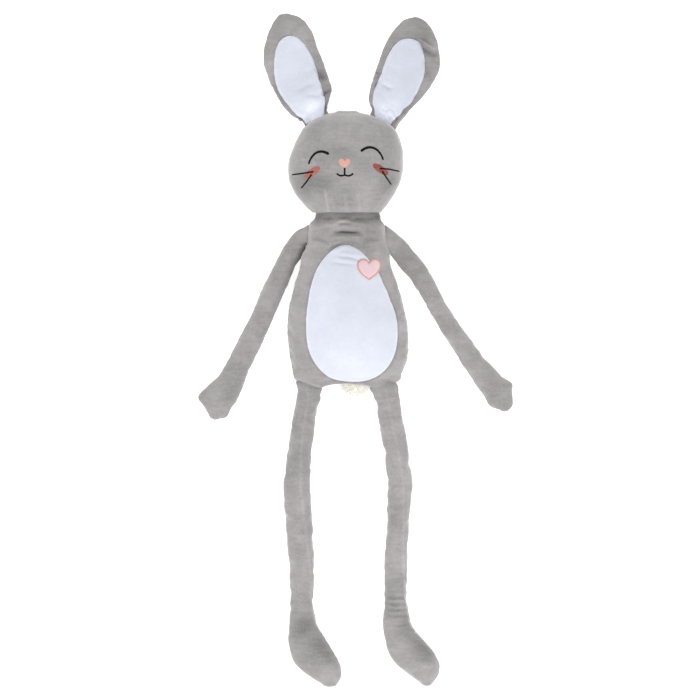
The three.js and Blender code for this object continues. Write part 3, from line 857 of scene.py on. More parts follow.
FLOAT, COLOUR = "NodeSocketFloat", "NodeSocketColor"
# The last input carries the painted light and shade from each cloth's points.
pile_group, pile_in, pile_out = effect_group(
    "plush_pile",
    [("Colour", COLOUR, (0.5, 0.5, 0.5, 1)), ("Brushing", FLOAT, 0.1), ("Speckle", FLOAT, 0.1),
     ("Ribs", FLOAT, 0.1), ("Brushed", FLOAT, 0.0)],
    [("Colour", COLOUR), ("Height", FLOAT), ("Roughness", FLOAT)],
)
place = pile_group.nodes.new("ShaderNodeTexCoord").outputs["Object"]
wide = noise(pile_group, place, 16, 2, 0.45, 0.7)
small = noise(pile_group, place, 75, 3, 0.6, 0.9)
fibres = noise(pile_group, place, 900, 2, 0.6)
clumps = noise(pile_group, place, 330, 2, 0.5)
wide_share, small_share = math_node(pile_group, "MULTIPLY", wide, 1.3), math_node(pile_group, "MULTIPLY", small, 0.7)
patches = math_node(pile_group, "ADD", wide_share, small_share)
lean = math_node(pile_group, "MULTIPLY", math_node(pile_group, "SUBTRACT", patches, 1.0), pile_in.outputs["Brushing"])
grains = math_node(pile_group, "ADD", fibres, math_node(pile_group, "MULTIPLY", clumps, 1.6))
grains = math_node(pile_group, "SUBTRACT", grains, 1.3)
grit = math_node(pile_group, "MULTIPLY", grains, pile_in.outputs["Speckle"])
ribs = pile_group.nodes.new("ShaderNodeMapping")
ribs.inputs["Scale"].default_value = (0.16, 1.0, 0.3)
join(pile_group, place, ribs.inputs["Vector"])
rib = noise(pile_group, ribs.outputs["Vector"], 260, 2, 0.55, 0.6)
rib_shade = math_node(pile_group, "MULTIPLY", math_node(pile_group, "SUBTRACT", rib, 0.5), pile_in.outputs["Ribs"])
# Painted light and shade from each cloth's points, lighter or darker, broken up a little by the small patches.
painted_shading_value = math_node(pile_group, "MULTIPLY", pile_in.outputs["Brushed"], math_node(pile_group, "ADD", small, 0.5))
value = math_node(pile_group, "ADD", math_node(pile_group, "ADD", lean, grit), 1.0)
value = math_node(pile_group, "ADD", value, math_node(pile_group, "ADD", rib_shade, painted_shading_value))
tint = pile_group.nodes.new("ShaderNodeHueSaturation")
join(pile_group, pile_in.outputs["Colour"], tint.inputs["Color"])
join(pile_group, value, tint.inputs["Value"])
join(pile_group, tint.outputs["Color"], pile_out.inputs["Colour"])
height = math_node(pile_group, "ADD", math_node(pile_group, "MULTIPLY", fibres, 0.5), clumps)
rib_height = math_node(pile_group, "MULTIPLY", math_node(pile_group, "MULTIPLY", rib, pile_in.outputs["Ribs"]), 3.0)
height = math_node(pile_group, "ADD", height, rib_height)
join(pile_group, height, pile_out.inputs["Height"])
pile_roughness = math_node(pile_group, "ADD", math_node(pile_group, "MULTIPLY", small, 0.16), 0.8)
join(pile_group, pile_roughness, pile_out.inputs["Roughness"])
print("pile group nodes:", len(pile_group.nodes))


# %% Plush materials
def material_with(name, group, values, bump_strength, bump_distance):
    """A Principled material fed by one effect group. Its plain numbers sit on its own sockets."""
    material = bpy.data.materials.new(name)
    material.use_nodes = True
    tree = material.node_tree
    shader = tree.nodes["Principled BSDF"]
    effect = tree.nodes.new("ShaderNodeGroup")
    effect.node_tree = group
    for socket, number in values.items():
        effect.inputs[socket].default_value = number
    join(tree, effect.outputs["Colour"], shader.inputs["Base Color"])
    if "Roughness" in effect.outputs:
        join(tree, effect.outputs["Roughness"], shader.inputs["Roughness"])
    bump = tree.nodes.new("ShaderNodeBump")
    bump.inputs["Strength"].default_value = bump_strength
    bump.inputs["Distance"].default_value = bump_distance
    join(tree, effect.outputs["Height"], bump.inputs["Height"])
    join(tree, bump.outputs["Normal"], shader.inputs["Normal"])
    return material, shader


# How early the painted sheen at the edges sets in, and how much lighter it is than the cloth.
BLOOM_BLEND = 0.12
BLOOM_LIFT = 1.35


def plush(name, colour, brushing, speckle, ribs, sheen):
    values = {"Colour": linear(*colour), "Brushing": brushing, "Speckle": speckle, "Ribs": ribs}
    material, shader = material_with(name, pile_group, values, 0.35, 0.9 * MM)
    shader.inputs["Specular IOR Level"].default_value = 0.12
    shader.inputs["Sheen Weight"].default_value = sheen
    shader.inputs["Sheen Roughness"].default_value = 0.28
    tree = material.node_tree
    # The painted light and shade written on each point of the cloth.
    mask = tree.nodes.new("ShaderNodeAttribute")
    mask.attribute_name = "brushed"
    effect = next(n for n in tree.nodes if n.type == "GROUP")
    join(tree, mask.outputs["Fac"], effect.inputs["Brushed"])
    # Painted sheen: where the cloth is seen edge on, its colour is mixed toward a paler one.
    turned_away = tree.nodes.new("ShaderNodeLayerWeight")
    turned_away.inputs["Blend"].default_value = BLOOM_BLEND
    painted_edge_sheen = tree.nodes.new("ShaderNodeMixRGB")
    painted_edge_sheen.inputs["Color2"].default_value = linear(*(min(255, c * BLOOM_LIFT) for c in colour))
    join(tree, turned_away.outputs["Facing"], painted_edge_sheen.inputs["Fac"])
    join(tree, effect.outputs["Colour"], painted_edge_sheen.inputs["Color1"])
    join(tree, painted_edge_sheen.outputs["Color"], shader.inputs["Base Color"])
    return material


grey_plush = plush("grey_plush", (156, 152.5, 153), 0.5, 0.2, 0.32, 0.8)
white_plush = plush("white_plush", (213, 217, 229), 0.16, 0.05, 0.03, 0.15)
pink_felt = plush("pink_felt", (228, 199, 204), 0.1, 0.16, 0.02, 0.2)

# %% [markdown]
# ## Satin stitch, fur and filling
# The face and the heart's edge are machine satin stitch: threads laid side by side across the line,
# with a soft gloss along each thread from the shader, and each thread painted lighter along its crown
# and darker between threads. Its stripes follow the cloth map, whose first axis runs along the
# stitched line. Fur is coloured in clumps, and polyester filling is a tangle of stretched noise; both
# are painted darker where the tangle is deep.

# %% Thread, fur and fibre groups
thread_group, thread_in, thread_out = effect_group(
    "satin_stitch",
    [("Colour", COLOUR, (0.5, 0.1, 0.1, 1)), ("Threads per metre", FLOAT, 1800), ("Unevenness", FLOAT, 0.2)],
    [("Colour", COLOUR), ("Height", FLOAT)],
)
cloth_map = thread_group.nodes.new("ShaderNodeUVMap")
cloth_map.uv_map = "cloth"
map_parts = thread_group.nodes.new("ShaderNodeSeparateXYZ")
join(thread_group, cloth_map.outputs["UV"], map_parts.inputs[0])
thread_place = thread_group.nodes.new("ShaderNodeTexCoord").outputs["Object"]
wander = math_node(thread_group, "MULTIPLY", noise(thread_group, thread_place, 500, 2), 0.0006)
along = math_node(thread_group, "ADD", map_parts.outputs["X"], wander)
turns = math_node(thread_group, "MULTIPLY", along, thread_in.outputs["Threads per metre"])
wave = math_node(thread_group, "SINE", math_node(thread_group, "MULTIPLY", turns, math.pi), 0)
round_thread = math_node(thread_group, "ABSOLUTE", wave, 0)
uneven = math_node(thread_group, "SUBTRACT", noise(thread_group, thread_place, 420, 3, 0.6), 0.5)
# Painted highlight and shade: lighter along each thread's crown, darker between threads.
shade = math_node(thread_group, "ADD", math_node(thread_group, "MULTIPLY", round_thread, 0.25), 0.82)
uneven_share = math_node(thread_group, "MULTIPLY", uneven, thread_in.outputs["Unevenness"])
shade = math_node(thread_group, "ADD", shade, uneven_share)
thread_tint = thread_group.nodes.new("ShaderNodeHueSaturation")
join(thread_group, thread_in.outputs["Colour"], thread_tint.inputs["Color"])
join(thread_group, shade, thread_tint.inputs["Value"])
join(thread_group, thread_tint.outputs["Color"], thread_out.inputs["Colour"])
join(thread_group, round_thread, thread_out.inputs["Height"])


def thread(name, colour, unevenness, gloss):
    values = {"Colour": linear(*colour), "Unevenness": unevenness}
    material, shader = material_with(name, thread_group, values, 0.5, 0.3 * MM)
    shader.inputs["Roughness"].default_value = gloss
    shader.inputs["Specular IOR Level"].default_value = 0.18
    return material


black_thread = thread("black_thread", (7, 6, 6), 0.3, 0.7)
rose_thread = thread("rose_thread", (222, 166, 158), 0.5, 0.4)
nose_thread = thread("nose_thread", (222, 172, 162), 0.6, 0.4)
coral_thread = thread("coral_thread", (176, 108, 98), 1.3, 0.45)
# A darker copy of the same thread: painted shade on the left cheek.
coral_thread_slanted = thread("coral_thread_slanted", (154, 88, 80), 1.5, 0.45)

fluff_group, fluff_in, fluff_out = effect_group(
    "fluff",
    [("Colour", COLOUR, (0.8, 0.8, 0.7, 1)), ("Shadow", FLOAT, 0.25)],
    [("Colour", COLOUR), ("Height", FLOAT), ("Roughness", FLOAT)],
)
fluff_place = fluff_group.nodes.new("ShaderNodeTexCoord").outputs["Object"]
stretch = fluff_group.nodes.new("ShaderNodeMapping")
stretch.inputs["Scale"].default_value = (1, 0.35, 1)
join(fluff_group, fluff_place, stretch.inputs["Vector"])
tangle = noise(fluff_group, stretch.outputs["Vector"], 520, 4, 0.65, 2.0)
locks = noise(fluff_group, fluff_place, 140, 2)
# Painted shade: where the noise says the tangle is deep, the colour is darker by Shadow.
depth = math_node(fluff_group, "SUBTRACT", math_node(fluff_group, "ADD", tangle, locks), 1.0)
fluff_tint = fluff_group.nodes.new("ShaderNodeHueSaturation")
join(fluff_group, fluff_in.outputs["Colour"], fluff_tint.inputs["Color"])
fluff_value = math_node(fluff_group, "ADD", math_node(fluff_group, "MULTIPLY", depth, fluff_in.outputs["Shadow"]), 1.0)
join(fluff_group, fluff_value, fluff_tint.inputs["Value"])
join(fluff_group, fluff_tint.outputs["Color"], fluff_out.inputs["Colour"])
join(fluff_group, tangle, fluff_out.inputs["Height"])
fluff_roughness = math_node(fluff_group, "ADD", math_node(fluff_group, "MULTIPLY", tangle, 0.2), 0.75)
join(fluff_group, fluff_roughness, fluff_out.inputs["Roughness"])


def fluff(name, colour, shadow, sheen, glow=0.0):
    values = {"Colour": linear(*colour), "Shadow": shadow}
    material, shader = material_with(name, fluff_group, values, 0.5, 1.0 * MM)
    shader.inputs["Specular IOR Level"].default_value = 0.2
    shader.inputs["Sheen Weight"].default_value = sheen
    # Glow is painted light: the fibres light themselves, though they are no lamp.
    shader.inputs["Emission Color"].default_value = linear(*colour)
    shader.inputs["Emission Strength"].default_value = glow
    return material


# The tail fur glows a little, as painted light that lifts it out of the shade under the body.
cream_fur = fluff("cream_fur", (248, 247, 240), 0.2, 0.5, 0.2)
polyester_filling = fluff("polyester_filling", (244, 243, 239), 0.25, 0.2)
floor_material = bpy.data.materials.new("backdrop_paper")
floor_material.use_nodes = True
paper = floor_material.node_tree.nodes["Principled BSDF"]
paper.inputs["Base Color"].default_value = (0.93, 0.93, 0.93, 1)
paper.inputs["Roughness"].default_value = 0.9
paper.inputs["Emission Color"].default_value = (1, 1, 1, 1)
paper.inputs["Emission Strength"].default_value = 0.68
floor.data.materials.append(floor_material)


# %% [markdown]
# ## Sewn-in patches
# The belly and the ear linings are white panels let into the grey ones, so their edge is a seam: both
# cloths dive into it. Colouring faces of the grey skin would give a ragged edge. Here each panel is
# made of the finished skin's own faces, a little proud of it. Along an outline it dives under, so
# that the seam is where the two cross, and the skin gets a valley along the same line. The small
# patches of the face and the heart are sheets of their own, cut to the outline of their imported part
# and laid on the cloth with the rim tucked under.


# %% Outlines and patches
def outline_of(node, count, passes=2):
    """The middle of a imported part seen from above, and how far its edge is from there all round."""
    starts, ends = model_edges([node])
    low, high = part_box(node)
    centre = (np.array(low[:2]) + np.array(high[:2])) / 2
    a, b = starts[:, :2] - centre, ends[:, :2] - centre
    reach = np.empty(count)
    for i in range(count):
        angle = math.tau * i / count
        ray = np.array([math.cos(angle), math.sin(angle)])
        side = np.array([-ray[1], ray[0]])
        da, db = a @ side, b @ side
        hit = (da * db <= 0) & (da != db)
        t = (da[hit] / (da[hit] - db[hit]))[:, None]
        reach[i] = ((a[hit] + t * (b[hit] - a[hit])) @ ray).max()
    for _ in range(passes):
        reach = 0.25 * np.roll(reach, 1) + 0.5 * reach + 0.25 * np.roll(reach, -1)
    return centre, reach


def reach_at(reach, angle):
    place_on = (angle % math.tau) / math.tau * len(reach)
    first = int(place_on) % len(reach)
    part = place_on - int(place_on)
    return reach[first] * (1 - part) + reach[(first + 1) % len(reach)] * part


def outline_line(centre, reach, trees):
    line = []
    for i, far in enumerate(reach):
        angle = math.tau * i / len(reach)
        x = centre[0] + math.cos(angle) * far
        y = centre[1] + math.sin(angle) * far
        z = drop_onto(trees, x, y)
        if z is not None:
            line.append((x, y, z))
    return np.array(line)


def patch(name, centre, reach, trees, lift, tuck, cells, dome, edge, grain=0.0):
    """A sheet cut to an outline and laid on the cloth. Its rim is tucked under, its middle stands up by dome."""
    points, uvs, kept = [], [], {}
    # A square grid drawn round, with its lines closer together at the rim.
    steps = np.linspace(-1, 1, cells + 1)
    steps = 0.5 * steps + 0.5 * np.sin(steps * math.pi / 2)
    for i, v in enumerate(steps):
        for j, u in enumerate(steps):
            disc_x, disc_y = u * math.sqrt(1 - v * v / 2), v * math.sqrt(1 - u * u / 2)
            radius, angle = min(math.hypot(disc_x, disc_y), 1.0), math.atan2(disc_y, disc_x)
            far = reach_at(reach, angle)
            x = centre[0] + math.cos(angle) * far * radius
            y = centre[1] + math.sin(angle) * far * radius
            z = drop_onto(trees, x, y)
            if z is None:
                continue
            rim = math.exp(-((1 - radius) * far / edge) ** 2)
            z += lift - (lift + tuck) * rim + dome * math.sqrt(max(0.0, 1 - radius ** 4))
            kept[i, j] = len(points)
            points.append((x, y, z))
            uvs.append((x * math.cos(grain) + y * math.sin(grain), y * math.cos(grain) - x * math.sin(grain)))
    faces = []
    for i in range(cells):
        for j in range(cells):
            corners = [(i, j), (i, j + 1), (i + 1, j + 1), (i + 1, j)]
            if all(c in kept for c in corners):
                faces.append([kept[c] for c in corners])
    mesh = bpy.data.meshes.new(name)
    mesh.from_pydata(points, [], faces)
    layer = mesh.uv_layers.new(name="cloth")
    for polygon in mesh.polygons:
        polygon.use_smooth = True
        for li in polygon.loop_indices:
            layer.data[li].uv = uvs[mesh.loops[li].vertex_index]
    piece = bpy.data.objects.new(name, mesh)
    scene.collection.objects.link(piece)
    return piece


# The outlines of the white panels as they lie on the stuffed toy, in mm.
LINING_SHAPE = {
    "torso": [(-3.6, 109.5), (-14, 107), (-22, 101.5), (-29, 95.7), (-34, 89.9), (-41, 81.2), (-46.6, 69.6),
              (-52.4, 52.2), (-56.8, 29), (-59.6, 10), (-60.2, -10), (-59.4, -29), (-54.4, -50.8), (-46, -65.3),
              (-37, -75.8), (-25.5, -84.6), (-8, -88.6), (8, -89.6), (26, -88.4), (37, -84.6), (51, -75.8),
              (60, -65.3), (67, -50.8), (71.4, -29), (71.6, -14), (70, 2), (66.4, 16), (60.4, 29), (50.6, 52.2),
              (43.4, 69.6), (35, 81.2), (27.5, 90), (17, 101), (6.5, 107)],
    "right": [(-82, 414), (-96, 409), (-103, 398), (-106, 384), (-107, 369), (-106, 352), (-103, 338),
              (-96, 324), (-86, 311), (-77, 300), (-68, 290), (-62, 281), (-48, 276), (-36, 284), (-33, 300),
              (-34, 323), (-38, 334), (-43, 349), (-48, 367), (-57, 389), (-67, 405)],
    "left": [(90, 409), (76, 407), (67, 398), (60, 387), (54, 373), (49, 357), (43, 344), (38, 333), (36, 323),
             (36, 309), (38, 295), (46, 281), (60, 278), (70, 291), (83, 306), (96, 323), (104, 339), (110, 354),
             (111, 371), (109, 389), (106, 401), (98, 407)],
}


OUTLINE_POINTS = 120


def outline_through(places_mm):
    """The same kind of outline, drawn through the places of a pattern."""
    places = np.array(places_mm) * MM
    centre = (places.min(axis=0) + places.max(axis=0)) / 2
    turns = np.arctan2(*(places - centre).T[::-1]) % math.tau
    far = np.linalg.norm(places - centre, axis=1)
    order = np.argsort(turns)
    round_about = np.arange(OUTLINE_POINTS) / OUTLINE_POINTS * math.tau
    reach = np.interp(round_about, turns[order], far[order], period=math.tau)
    for _ in range(3):
        reach = 0.25 * np.roll(reach, 1) + 0.5 * reach + 0.25 * np.roll(reach, -1)
    return centre, reach


# A panel stands proud of the skin by PROUD, lies TUCK under it beyond the seam, and takes twice
# TURN_UNDER to cross it. The skin must be thick enough there: it rises fully with FULL_ROOM under it,
# and ends where less than LEAST_ROOM is left. Beyond the seam, faces steeper than STEEP are left out.
PROUD = 1.0 * MM
TUCK = 1.4 * MM
TURN_UNDER = 2.2 * MM
FULL_ROOM = 2 * MM
LEAST_ROOM = 0.2 * MM
SEARCH_ROOM = 4 * MM
STEEP = 0.5


def room_below(skin, points):
    """How far each point is from the skin's lower panel, up to SEARCH_ROOM."""
    mesh = skin.data
    lower_faces = [p.vertices[:] for p in mesh.polygons if p.material_index == 1]
    lower = BVHTree.FromPolygons([v.co for v in mesh.vertices], lower_faces)
    hits = (lower.find_nearest(Vector(point), SEARCH_ROOM) for point in points)
    return np.array([SEARCH_ROOM if hit[3] is None else hit[3] for hit in hits])


def let_in(name, skin, centre, reach):
    """A panel that is let into a skin: the skin's own upper faces within an outline, a little proud of it.

    Near the outline the panel dives under the skin, so that the seam is where the two cross. Where the skin
    is too thin for that, at its own side seam, the panel ends."""
    points, normals = positions(skin.data), normals_of(skin.data)
    away = points[:, :2] - centre
    turns = np.arctan2(away[:, 1], away[:, 0]) % math.tau
    far = np.interp(turns, np.arange(len(reach)) / len(reach) * math.tau, reach, period=math.tau)
    inside = far - np.linalg.norm(away, axis=1)
    room = room_below(skin, points)
    share = np.clip((inside + TURN_UNDER) / (2 * TURN_UNDER), 0, 1) * np.clip((room - TUCK) / FULL_ROOM, 0, 1)
    rise = -TUCK + (PROUD + TUCK) * share * share * (3 - 2 * share)
    work = bmesh.new()
    work.from_mesh(skin.data)
    work.verts.ensure_lookup_table()
    spare = [f for f in work.faces if f.material_index == 1
             or all(inside[v.index] < -1.5 * TURN_UNDER for v in f.verts)
             or (f.normal.z < STEEP and all(inside[v.index] < 0 for v in f.verts))
             or any(room[v.index] < TUCK + LEAST_ROOM for v in f.verts)]
    for vertex, point in zip(work.verts, points + normals * rise[:, None]):
        vertex.co = Vector(point)
    bmesh.ops.delete(work, geom=spare, context="FACES")
    for face in work.faces:
        face.material_index = 0
        face.smooth = True
    mesh = bpy.data.meshes.new(name)
    work.to_mesh(mesh)
    work.free()
    piece = bpy.data.objects.new(name, mesh)
    scene.collection.objects.link(piece)
    return piece


PATCHES = {"belly_panel": "torso", "ear_lining_right": "ear_right", "ear_lining_left": "ear_left"}
cut_out = {}
for node, under in PATCHES.items():
    cut_out[node] = outline_through(LINING_SHAPE[under.removeprefix("ear_")])
    line = outline_line(*cut_out[node], [tree_of(skins[under])])
    depth_mm = 1.3 if node == "belly_panel" else 1.8
    press_valley(skins[under], line, depth_mm * MM, 2.2 * MM, roll=0.4, pucker=0.15, pitch=14 * MM, taper=0,
                 closed=True)
    print(node, "is cut", round(2 * cut_out[node][1].max() / MM), "mm long")

# %% [markdown]
# ## Each panel as a piece of its own
# The closed skins are now parted along their seam lines into the panels that are sewn together, an
# upper and a lower one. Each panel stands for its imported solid. Inside each pair goes the filling, the
# same shape drawn a few millimetres inward, so that it never shows through a crease.


# %% Part the skins, lay the patches, add the filling
def panel_of(skin, index, name):
    work = bmesh.new()
    work.from_mesh(skin.data)
    bmesh.ops.delete(work, geom=[f for f in work.faces if f.material_index != index], context="FACES")
    for face in work.faces:
        face.material_index = 0
        face.smooth = True
    mesh = bpy.data.meshes.new(name)
    work.to_mesh(mesh)
    work.free()
    piece = bpy.data.objects.new(name, mesh)
    scene.collection.objects.link(piece)
    return piece


def filling_of(name, skin, coarse, around, gap):
    """The skin's own shape drawn inward by a gap: toward the other panel, and toward the middle of its ring."""
    grid = positions(skin.data)[:len(coarse.vertices)].reshape(-1, around, 3)
    opposite = grid[:, (-np.arange(around)) % around]
    middle = (grid + opposite) / 2
    half = np.linalg.norm(grid - middle, axis=2, keepdims=True)
    inner = middle + (grid - middle) * np.clip(1 - gap / np.maximum(half, 0.1 * MM), 0.12, 1)
    centre = inner.mean(axis=1, keepdims=True)
    out = inner - centre
    widest = np.linalg.norm(out, axis=2, keepdims=True).max(axis=1, keepdims=True)
    inner = centre + out * np.clip(1 - gap / widest, 0.3, 1)
    first_full, last_full = 3, len(inner) - 7
    for end, stop in ((range(first_full), first_full), (range(last_full + 1, len(inner)), last_full)):
        for ring in end:
            inner[ring] = inner[stop] + (inner[ring] - inner[stop]) * 0.5
    set_positions(coarse, inner)
    piece = bpy.data.objects.new(name, coarse)
    scene.collection.objects.link(piece)
    for polygon in coarse.polygons:
        polygon.use_smooth = True
        polygon.material_index = 0
    return piece


# Painted light and shade in round spots, in mm: x, y, radius, and how much lighter or darker. Most are
# painted shade where shade falls, such as on the cheeks, the neck, the insteps and a painted shadow in
# the right armpit; the lighter ones are painted light, such as on the toes and the lower belly.
PAINTED_SHADING_SPOTS = {
    "belly_panel": [(0, -60, 40, 0.05), (-30, 30, 18, 0.04), (20, 40, 20, -0.03), (-8, 78, 14, -0.05)],
    "ear_lining_right": [(-50, 294, 22, 0.28), (-49, 306, 14, 0.2), (-60, 330, 14, -0.08)],
    "ear_lining_left": [(54, 294, 18, 0.22), (50, 330, 12, -0.08)],
    "head": [(-64, 196, 20, -0.24), (-34, 198, 20, -0.12), (62, 197, 18, -0.16), (0, 180, 24, -0.05),
             (8, 165, 20, 0.08), (60, 262, 18, -0.06), (-62, 262, 16, 0.04), (2, 284, 34, 0.07),
             (2, 292, 12, 0.08), (-8, 236, 20, -0.04), (0, 175, 15, -0.22), (-32, 196, 12, -0.16),
             (-50, 194, 14, -0.04), (60, 196, 12, -0.05)],
    "torso": [(0, 150, 34, 0.16), (-15, 147, 11, 0.32), (-46, 146, 7, -0.36), (46, 147, 7, -0.4),
              (34, 124, 13, -0.22), (-44, 122, 13, -0.08), (0, 122, 12, -0.1), (-80, 10, 16, 0.05),
              (80, -12, 14, 0.18), (-66, -70, 20, -0.05), (70, -60, 18, 0.05)],
    "leg_right": [(-80, -262, 30, 0.13), (-62, -443, 17, -0.28), (-44, -470, 16, -0.28), (-28, -484, 13, -0.2),
                  (-28, -518, 12, 0.12), (-76, -478, 12, 0.08), (-70, -300, 24, 0.05), (-70, -360, 16, 0.06),
                  (-78, -200, 14, -0.05)],
    "leg_left": [(118, -488, 12, -0.2), (88, -445, 17, -0.24), (106, -474, 17, -0.3), (66, -468, 12, 0.08),
                 (72, -250, 34, 0.15), (70, -330, 24, 0.12)],
    "arm_right": [(-130, 8, 14, -0.09), (-82, 104, 14, -0.12), (-104, 66, 14, -0.08), (-160, -60, 14, 0.06),
                  (-190, -112, 14, 0.17), (-61, 108, 4, -0.4), (-64, 101, 4, -0.4), (-68, 94, 4.5, -0.36),
                  (-72, 86, 5, -0.3)],
    "arm_left": [(86, 92, 13, -0.08), (206, -80, 16, -0.08), (208, -104, 12, -0.1), (214, -122, 12, 0.04),
                 (160, -20, 14, 0.05)],
    "ear_right": [(-113, 368, 12, 0.24), (-82, 422, 18, 0.12), (-100, 410, 12, -0.06), (-40, 354, 8, -0.3),
                  (-32, 325, 8, -0.1)],
    "ear_left": [(122, 372, 12, 0.04), (100, 422, 16, -0.1), (126, 398, 8, 0.14), (84, 420, 14, 0.06),
                 (44, 352, 8, -0.26), (104, 340, 12, 0.14)],
}


# Straight strokes of painted light and shade in mm: from, to, radius, amount. On the chin they are
# painted highlights where the neck seam pulls; below the chin and in the chest crease they are painted
# shade; along the side and hip seams of the torso painted highlights; on the ankle and the ears,
# painted shade in the folds and painted highlights on the ridges between.
PAINTED_SHADING_STROKES = {
    "head": [((-33, 186), (-28, 158), 2.0, 0.28), ((-4, 180), (-2, 158), 2.0, 0.18), ((14, 182), (17, 158), 2.0, 0.18),
             ((-19, 178), (-16, 160), 3, -0.07), ((5, 178), (6, 160), 3, -0.06), ((-40, 158), (38, 158), 4, 0.1)],
    "torso": [((-50, 153), (50, 153), 2.6, -0.2), ((-48, 148), (-26, 147), 3.2, -0.2),
              ((48, 150), (32, 147), 3.2, -0.2), ((-19, 126.6), (17, 126.2), 2, -0.22),
              ((-55, 137), (-57, 116), 1.6, 0.14), ((50, 135), (54, 106), 1.6, 0.14),
              ((-81, 36), (-85, -3), 1.8, 0.12), ((-85, -3), (-77, -83), 1.8, 0.12),
              ((-76, -84), (-42, -97), 1.8, 0.28), ((36, -98), (70, -90), 2, 0.1)],
    "leg_right": [((-76, -88), (-43, -100.5), 2, -0.16), ((-80, -431), (-46, -431), 3, 0.08)],
    "leg_left": [((57, -401), (80, -403), 2.2, -0.14), ((60, -406), (80, -408), 2, 0.1),
                 ((57, -411), (83, -413), 2.2, -0.16), ((60, -416), (84, -417), 2, 0.1),
                 ((57, -421), (86, -421), 2.2, -0.14), ((58, -429), (86, -430), 2.2, -0.14),
                 ((52, -136), (64, -134), 1.8, -0.1), ((46, -144), (66, -141), 1.8, -0.12),
                 ((48, -154), (66, -151), 1.8, -0.1)],
    "ear_left": [((61, 299), (66, 284), 1.8, 0.28), ((80, 295), (70, 281), 1.8, 0.24),
                 ((71, 296), (68, 286), 2.2, -0.25), ((106, 408), (131, 392), 3, 0.2),
                 ((100, 398), (126, 384), 3.5, -0.28)],
    "ear_right": [((-82, 297), (-62, 284), 2, 0.26), ((-69, 301), (-63, 290), 1.8, 0.26),
                  ((-74, 298), (-66, 290), 2.2, -0.2), ((-52, 368), (-36, 350), 4, -0.12),
                  ((-36, 328), (-27, 332), 3, -0.35)],
}


def gap_to_stroke(points, start, end):
    start, run = np.array(start, float), np.subtract(end, start)
    share = np.clip((points - start) @ run / max(run @ run, 1e-9), 0, 1)
    return np.linalg.norm(points - start - share[:, None] * run, axis=1)


def paint_shading(piece, places, strokes, rims):
    """Writes painted light and shade on each point: round spots, straight strokes, and rims that follow a seam."""
    points = positions(piece.data)[:, :2] / MM
    mask = np.zeros(len(points))
    spots = [((x, y), (x, y), radius, amount) for x, y, radius, amount in places]
    for start, end, radius, amount in (*spots, *strokes):
        mask += amount * np.exp(-(gap_to_stroke(points, start, end) / radius) ** 2)
    for path, radius, amount in rims:
        gap = np.min([gap_to_stroke(points, start, end) for start, end in zip(path, path[1:])], axis=0)
        mask += amount * np.exp(-(gap / radius) ** 2)
    layer = piece.data.attributes.new("brushed", "FLOAT", "POINT")
    layer.data.foreach_set("value", mask.astype(np.float32))


def dress(piece, material, slot_name, nodes, fill=None):
    piece.data.materials.clear()
    piece.data.materials.append(material)
    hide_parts(*nodes)
    return piece


PANELS = {
    "torso": ("torso_front_panel", "torso_back_panel", "torso_stuffing", 0.8),
    "head": ("face_panel", "head_back_panel", "head_stuffing", 0.9),
}
for side in SIDES:
    upper, lower = ("outer", "inner") if side == "right" else ("inner", "outer")
    PANELS[f"arm_{side}"] = (f"arm_front_panel_{side}", f"arm_back_panel_{side}", f"arm_stuffing_{side}", 0.8)
    PANELS[f"leg_{side}"] = (f"leg_{upper}_panel_{side}", f"leg_{lower}_panel_{side}", f"leg_stuffing_{side}", 0.8)
    PANELS[f"ear_{side}"] = (f"ear_border_{side}", f"ear_back_panel_{side}", f"ear_wadding_{side}", 0.2)
# How far in from the cloth its filling is drawn. An ear's wadding is a flat sheet well inside the seam.
FILLING_GAP = {"torso": 5.5 * MM, "head": 5.5 * MM, "arm": 5.5 * MM, "leg": 5.5 * MM, "ear": 24 * MM}


def closed_shape(under):
    shape = LINING_SHAPE[under.removeprefix("ear_")]
    return [*shape, shape[0]]


def seam_rims(name):
    """Where a seam catches the light or lies in its own shade: path, radius, amount."""
    rims = []
    if name.startswith("leg"):
        upper_seam = max(seam_lines[name], key=lambda line: line[:, 2].mean())
        rims.append((upper_seam[::4, :2] / MM, 1.7, 0.12))
    if name in PATCHES.values():
        rims.append((closed_shape(name), 2.0, -0.13))
    return rims


pieces = {name: [] for name in skins}
skin_trees = {}
for name, (upper, lower, inside, fill) in PANELS.items():
    skin = skins[name]
    skin_trees[name] = tree_of(skin)
    for index, node in enumerate((upper, lower)):
        piece = panel_of(skin, index, "cloth_" + node)
        # Each panel gets its painted light and shade.
        paint_shading(piece, PAINTED_SHADING_SPOTS[name], PAINTED_SHADING_STROKES.get(name, ()), seam_rims(name))
        pieces[name].append(dress(piece, grey_plush, "grey_plush", [node], fill))
    kind = name.split("_")[0]
    stuffing = filling_of("filled_" + inside, skin, coarse_meshes[name], AROUND[kind], FILLING_GAP[kind])
    pieces[name].append(dress(stuffing, polyester_filling, "polyester_filling", [inside], fill))

for node, under in PATCHES.items():
    fill = PANELS[under][-1]
    piece = let_in("cloth_" + node, skins[under], *cut_out[node])
    # A thin painted highlight just inside the panel's seam.
    paint_shading(piece, PAINTED_SHADING_SPOTS.get(node, ()), (), [(closed_shape(under), 1.8, 0.14)])
    pieces[under].append(dress(piece, white_plush, "white_plush", [node], fill))
    skin_trees[node] = tree_of(piece)
for skin in skins.values():
    bpy.data.objects.remove(skin)
print("cloth pieces:", sum(len(p) for p in pieces.values()))

# %% [markdown]
# ## The face and the heart
# Every line of the face is a low dome of thread over the plush. A flat painted line would lose the
# small shadow that makes embroidery look sewn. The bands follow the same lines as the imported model
# and are dropped onto the cloth, so they bend with it.


# %% Stitched bands
STITCH_PITCH = 0.7 * MM
STITCH_SINK = 0.7 * MM
COLUMNS = 9


